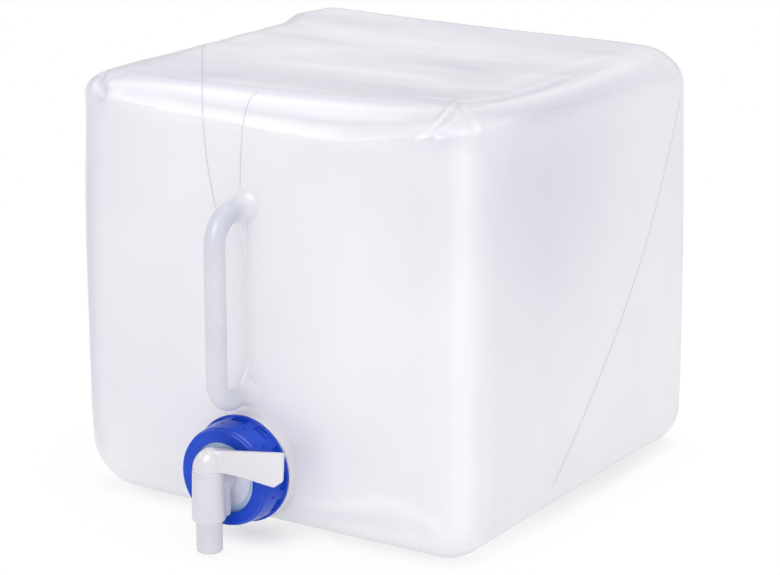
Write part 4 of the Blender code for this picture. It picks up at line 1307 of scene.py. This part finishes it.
barrel = turned_solid("barrel", (
    (BARREL_RADIUS, TAP_OUT, 0), (BARREL_RADIUS, BARREL_START, 0)), 96, OUT_OF_FACE)
chamber = turned_solid("chamber", (
    (CHAMBER_TOP_RADIUS, CHAMBER_RIM, 0.5), (CHAMBER_FOOT_RADIUS, CHAMBER_FOOT, 0.8),
    (OUTLET_RADIUS, CHAMBER_FOOT - CHAMBER_CHAMFER, 0.8), (OUTLET_RADIUS, OUTLET_END, 1.4),
), 96, ON_TAP_AXIS)
shoulder = rounded_block(
    (SHOULDER_WIDTH, SHOULDER_DEPTH, NECK_Z - CHAMBER_FOOT), SHOULDER_ROUNDING,
    ON_TAP_AXIS @ Matrix.Translation((0, SHOULDER_DEPTH / 2, (NECK_Z + CHAMBER_FOOT) / 2)))
water_way = turned_solid("water_way", (
    (CHAMBER_BORE, CHAMBER_TOP + CUT_OVERRUN, 0), (CHAMBER_BORE, CHAMBER_FLOOR, 0),
    (OUTLET_BORE, CHAMBER_FLOOR, 0), (OUTLET_BORE, OUTLET_END - CUT_OVERRUN, 0)), 64, ON_TAP_AXIS)
barrel_way = turned_solid("barrel_way", (
    (BARREL_BORE, TAP_OUT, 0), (BARREL_BORE, 0, 0)), 64, OUT_OF_FACE)
chamber_mesh = carved(melted([barrel, chamber, shoulder], TAP_VOXEL, TAP_SMOOTHING),
                      [water_way, barrel_way])
tap_chamber = new_object("tap_chamber", chamber_mesh, "tap_plastic", "tap", 40)
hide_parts("tap_body")
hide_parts("tap_body")
print("tap chamber:", len(chamber_mesh.polygons), "faces, foot at", round(OUTLET_END / MM, 1), "mm")

# %% [markdown]
# ## The valve plug
#
# The plug turns in the chamber. Its head is a tall dome that leans a little to the lever. It stands on
# the chamber's rim and is slightly narrower than the chamber. Below the head the plug is a cup, open at
# its foot and with a window in its side, and a bead near the foot snaps into the chamber. All of that
# but the window is one turned outline, and a small shift of its upper points makes the dome lean.

# %% Plug and head
plug_low, plug_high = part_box("tap_plug")
PLUG_RADIUS = 7.0 * MM
PLUG_BORE = 5.0 * MM
PLUG_FOOT = plug_low.z
HEAD_RADIUS = CHAMBER_TOP_RADIUS - 0.35 * MM
HEAD_FOOT = CHAMBER_TOP + 0.12 * MM
DOME_TOP = CHAMBER_TOP + 13.3 * MM
DOME_HEIGHT = 12.2 * MM
HEAD_SHOULDER = DOME_TOP - DOME_HEIGHT
DOME_LEAN = 1.6 * MM
DOME_STEPS = 14
WINDOW_RADIUS = 4.2 * MM
PLUG_ROOF = NECK_Z + WINDOW_RADIUS + 1.3 * MM
SNAP_HEIGHT = NECK_Z - 11.4 * MM
SNAP_BEAD = 0.4 * MM


def dome_rise(height):
    """Share of the dome's height, from 0 at its shoulder to 1 at its top."""
    return max(0.0, height - HEAD_SHOULDER) / DOME_HEIGHT


outline = [(0, DOME_TOP, 0)]
for step in range(1, DOME_STEPS + 1):
    angle = math.pi / 2 * step / DOME_STEPS
    outline.append((HEAD_RADIUS * math.sin(angle), HEAD_SHOULDER + DOME_HEIGHT * math.cos(angle), 0))
outline += [
    (HEAD_RADIUS, HEAD_FOOT, 0), (PLUG_RADIUS, HEAD_FOOT, 0.2),
    (PLUG_RADIUS, SNAP_HEIGHT + 2 * SNAP_BEAD, 0), (PLUG_RADIUS + SNAP_BEAD, SNAP_HEIGHT, 0.2),
    (PLUG_RADIUS, SNAP_HEIGHT - 2 * SNAP_BEAD, 0), (PLUG_RADIUS, PLUG_FOOT, 0.3),
    (PLUG_BORE, PLUG_FOOT, 0.2), (PLUG_BORE, PLUG_ROOF, 0.8), (0, PLUG_ROOF, 0),
]
head_mesh = turned("plug_head", outline, 96, closed=False)
for vert in head_mesh.vertices:
    vert.co.x += DOME_LEAN * dome_rise(vert.co.z) ** 2
print("dome top at z", round(DOME_TOP / MM, 1), "of", round(plug_high.z / MM, 1), "mm")

# %% [markdown]
# A flat lever stands out from the head: thin, deeper at its tip than at its root, with a crisp outline
# and softly broken edges. At the root it thickens into the head. Sections that follow one another from
# the root to the tip give that change of width, which a bent plate or a scaled block would not.

# %% Lever
LEVER_LENGTH = 44.9 * MM
LEVER_BACK_ANGLE = math.radians(20)
LEVER_THICKNESS = 3.4 * MM
LEVER_ROOT_FOOT = CHAMBER_TOP + 0.4 * MM
LEVER_ROOT_TOP = CHAMBER_TOP + 11.9 * MM
LEVER_TIP_TOP = CHAMBER_TOP + 13.2 * MM
LEVER_TIP_HEIGHT = 20.6 * MM
LEVER_END_HEIGHT = 16.8 * MM
LEVER_TIP_CUT = 5.9 * MM
LEVER_END_SLANT = 0.8 * MM
LEVER_LEVELS = 6
LEVER_BEVEL = 0.45 * MM
CRISP_ANGLE = math.radians(30)
ROOT_SHARE = 0.70
ROOT_INSET_SHARE = 0.14
LEAST_DOME_SHARE = 0.02
FLARE_REACH = 3.4 * MM
FLARE_STEP = 0.6 * MM
FLARE_STEPS = 11
FLAT_START = 9.0 * MM
FLAT_SECTIONS = 10
# Sections inside the head, in millimetres from the plug's axis.
HEAD_SECTIONS = (1.0, 2.2, 3.4, 4.6, 5.5)


def lever_half_width(along, height):
    """Just inside the head up to the root, and then a soft run down to the flat lever."""
    radius = HEAD_RADIUS * math.sqrt(max(LEAST_DOME_SHARE, 1 - dome_rise(height) ** 2))
    flat = LEVER_THICKNESS / 2
    start = ROOT_SHARE * radius
    if along <= start:
        inset = 1 - ROOT_INSET_SHARE * (1 - along / start)
        return max(flat, math.sqrt(radius ** 2 - along ** 2) * inset)
    wide = max(0.0, radius * math.sqrt(1 - ROOT_SHARE ** 2) - flat)
    return flat + wide * math.exp(-(along - start) / FLARE_REACH)


def lever_foot(along, root_start, cut_start):
    """Height of the lever's lower edge: level in the head, then falling to the cut at the tip."""
    if along > cut_start:
        return LEVER_TIP_TOP - LEVER_END_HEIGHT
    share = max(0, along - root_start) / (cut_start - root_start)
    return LEVER_ROOT_FOOT + (LEVER_TIP_TOP - LEVER_TIP_HEIGHT - LEVER_ROOT_FOOT) * share


def lever_mesh():
    """The lever along +X from the plug's axis, as sections from root to tip."""
    root_start = ROOT_SHARE * HEAD_RADIUS
    cut_start = LEVER_LENGTH - LEVER_TIP_CUT
    end = LEVER_LENGTH - LEVER_END_SLANT / 2
    places = [
        *(along * MM for along in HEAD_SECTIONS), root_start,
        *(root_start + FLARE_STEP * number for number in range(1, FLARE_STEPS + 1)),
        *np.linspace(root_start + FLAT_START, cut_start, FLAT_SECTIONS), end,
    ]
    rings = []
    for along in places:
        top = LEVER_ROOT_TOP + (LEVER_TIP_TOP - LEVER_ROOT_TOP) * along / LEVER_LENGTH
        foot = lever_foot(along, root_start, cut_start)
        slant = LEVER_END_SLANT if along == end else 0
        side = []
        for level in range(LEVER_LEVELS):
            share = level / (LEVER_LEVELS - 1)
            height = foot + (top - foot) * share
            side.append((along + slant * (share - 0.5), lever_half_width(along, height), height))
        rings.append(side + [(x, -y, z) for x, y, z in reversed(side)])
    bm = skinned(rings)
    crisp = [edge for edge in bm.edges if edge.is_manifold and edge.calc_face_angle() > CRISP_ANGLE]
    bmesh.ops.bevel(bm, geom=crisp, offset=LEVER_BEVEL, segments=3, profile=0.5, affect="EDGES")
    return finished(bm, "lever")


window = turned_solid(
    "window", ((WINDOW_RADIUS, 0, 0), (WINDOW_RADIUS, -2 * PLUG_RADIUS, 0)), 48,
    Matrix.Translation((0, 0, NECK_Z)) @ Matrix.Rotation(math.pi / 2, 4, "Y"))
plug_mesh = carved(carved(head_mesh, [lever_mesh()], "UNION"), [window])
PLUG_PLACE = ON_TAP_AXIS @ Matrix.Rotation(LEVER_BACK_ANGLE, 4, "Z")
plug = new_object("plug", placed(plug_mesh, PLUG_PLACE), "plug_plastic", "plug", 24)
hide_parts("tap_plug")
print("plug:", len(plug_mesh.polygons), "faces, lever", round(LEVER_LENGTH / MM, 1), "mm long")

# %% [markdown]
# ## The carry handle
#
# The handle is blown together with the face: a hollow, rounded grip that stands out from the wall, with
# a flat web at the top and at the foot where the two halves of the mould pinch the film, and a low
# ridge that joins both webs on the wall. Its roots flare out where they run into the film. A swept tube
# gives the grip, thin plates give the webs, and melting all of it together makes the soft corners
# between them.

# %% The way of the grip
handle_low, handle_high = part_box("carry_handle")
HANDLE_RADIUS = 6.2 * MM
HANDLE_OUT = FACE_Y - handle_low.y - HANDLE_RADIUS
HANDLE_LOW = 86.4 * MM
HANDLE_HIGH = 197.4 * MM
HANDLE_LOW_BEND = 15.0 * MM
HANDLE_HIGH_BEND = 17.0 * MM
HANDLE_BEHIND = 6.0 * MM
BEND_STEPS = 18
ROOT_STEPS = 10


def bend(centre_height, radius, first_turn):
    """(out, height) points of a quarter circle; a turn of 0 is straight below its centre."""
    turns = [first_turn + math.pi / 2 * step / BEND_STEPS for step in range(BEND_STEPS + 1)]
    return [(HANDLE_OUT - radius + radius * math.sin(turn), centre_height - radius * math.cos(turn))
            for turn in turns]


def grip_route():
    """(out, height) points along the middle of the grip, from the low root to the high root."""
    low_outs = np.linspace(-HANDLE_BEHIND, HANDLE_OUT - HANDLE_LOW_BEND, ROOT_STEPS + 1)[:-1]
    high_outs = np.linspace(HANDLE_OUT - HANDLE_HIGH_BEND, -HANDLE_BEHIND, ROOT_STEPS + 1)[1:]
    return [
        *((out, HANDLE_LOW) for out in low_outs),
        *bend(HANDLE_LOW + HANDLE_LOW_BEND, HANDLE_LOW_BEND, 0),
        *bend(HANDLE_HIGH - HANDLE_HIGH_BEND, HANDLE_HIGH_BEND, math.pi / 2),
        *((out, HANDLE_HIGH) for out in high_outs),
    ]


print("grip stands", round(HANDLE_OUT / MM, 1), "mm out,", len(grip_route()), "points")

# %% Grip and webs
ROOT_RADIUS = 9.6 * MM
ROOT_LENGTH = 9.0 * MM
ROOT_START = 3.0 * MM
ROOT_FALL_OFF = 6
PINCH_SHARE = 0.30
PINCH_LENGTH = 17.0 * MM
GRIP_SIDES = 40
WEB_THICKNESS = 3.0 * MM
HANDLE_VOXEL = 0.62 * MM
HANDLE_SMOOTHING = 14
HANDLE_CUT = 1.0 * MM
CUT_TOLERANCE = 1e-6
# Corners of the webs are (out, height) in millimetres.
behind = -HANDLE_BEHIND / MM
TOP_WEB = ((14.5, 192.5), (12.8, 190.7), (8.7, 182.1), (4.4, 172.2), (2.4, 158.0), (1.8, 145.0),
           (behind, 140.0), (behind, 207.0), (9.0, 204.5))
LOW_WEB = ((14.5, 91.0), (11.2, 93.2), (5.2, 100.8), (2.6, 112.0), (2.0, 128.0), (1.8, 146.0),
           (behind, 150.0), (behind, 79.0), (9.0, 80.0))


def grip_radius(out):
    share = min(1, max(0, 1 - (out - ROOT_START) / ROOT_LENGTH))
    return HANDLE_RADIUS + (ROOT_RADIUS - HANDLE_RADIUS) * share ** ROOT_FALL_OFF


def grip_squeeze(out):
    share = min(1, max(0, (out - ROOT_START) / PINCH_LENGTH))
    return 1 - PINCH_SHARE * math.sin(math.pi * share)


def grip(route):
    """A tube along (out, height) points in the plane x = 0, with an oval section."""
    rings = []
    for number, (out, height) in enumerate(route):
        before, after = route[max(number - 1, 0)], route[min(number + 1, len(route) - 1)]
        forward = Vector((after[0] - before[0], after[1] - before[1])).normalized()
        ring = []
        for side in range(GRIP_SIDES):
            angle = math.tau * side / GRIP_SIDES
            sideways = grip_radius(out) * grip_squeeze(out) * math.cos(angle)
            lift = grip_radius(out) * math.sin(angle)
            ring.append((sideways, -(out - forward.y * lift), height + forward.x * lift))
        rings.append(ring)
    return finished(skinned(rings), "grip")


def web(corners):
    """A flat plate in the plane x = 0."""
    return finished(skinned([
        [(side * WEB_THICKNESS / 2, -out * MM, height * MM) for out, height in corners]
        for side in (-1, 1)]), "web")


def open_behind(mesh):
    """The part of a mesh that is in front of the film or only just behind it."""
    bm = bmesh.new()
    bm.from_mesh(mesh)
    bmesh.ops.bisect_plane(bm, geom=[*bm.verts, *bm.edges, *bm.faces], dist=CUT_TOLERANCE,
                           plane_co=(0, FACE_Y + HANDLE_CUT, 0), plane_no=(0, 1, 0), clear_outer=True)
    return finished(bm, "handle")


handle_mesh = melted([grip(grip_route()), web(TOP_WEB), web(LOW_WEB)], HANDLE_VOXEL, HANDLE_SMOOTHING)
handle_mesh = open_behind(placed(handle_mesh, Matrix.Translation((NECK_X, FACE_Y, 0))))
print("handle:", len(handle_mesh.polygons), "faces")

# %% [markdown]
# The roots and the webs are nearly as light as the film round them, and the grip is darker. Their light
# colour is partly their own thin film and partly painted light on the webs' shaded sides. The upper bend
# is darker still, and that part is painted shade, which holds down the bend's highlight. The tint grows
# with the distance from the wall and keeps to the grip, so a value at each vertex holds it.

# %% Tint of the handle
TINT_START = 7.0 * MM
TINT_LENGTH = 12.0 * MM
ROOT_TINT_SHARE = 0.10
GRIP_TINT_SHARE = 0.60
GRIP_TINT_REACH = 2.5 * MM
GRIP_TINT_FADE = 2.0 * MM

places = vertex_places(handle_mesh)
grip_line = np.array([(NECK_X, FACE_Y - out, height) for out, height in grip_route()])
from_grip = distance_to_path(places, grip_line)[0]
on_grip = np.clip((HANDLE_RADIUS + GRIP_TINT_REACH - from_grip) / GRIP_TINT_FADE, 0, 1)
stand_out = np.clip((FACE_Y - places[:, 1] - TINT_START) / TINT_LENGTH, 0, 1)
# The upper bend, where the handle gets painted shade.
painted_bend_shade = np.clip((places[:, 2] - HANDLE_HIGH + HANDLE_HIGH_BEND) / HANDLE_HIGH_BEND, 0, 1)
tint = ROOT_TINT_SHARE + (GRIP_TINT_SHARE - ROOT_TINT_SHARE) * stand_out
# Painted shade in the upper bend.
tint += (1 - GRIP_TINT_SHARE) * painted_bend_shade * stand_out
give_value(handle_mesh, "handle_depth_and_painted_bend_shade", on_grip * tint)
handle = new_object("handle", handle_mesh, "handle_plastic", "container")
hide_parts("carry_handle")
print("handle is", round((handle_high.z - handle_low.z) / MM, 1), "mm high")
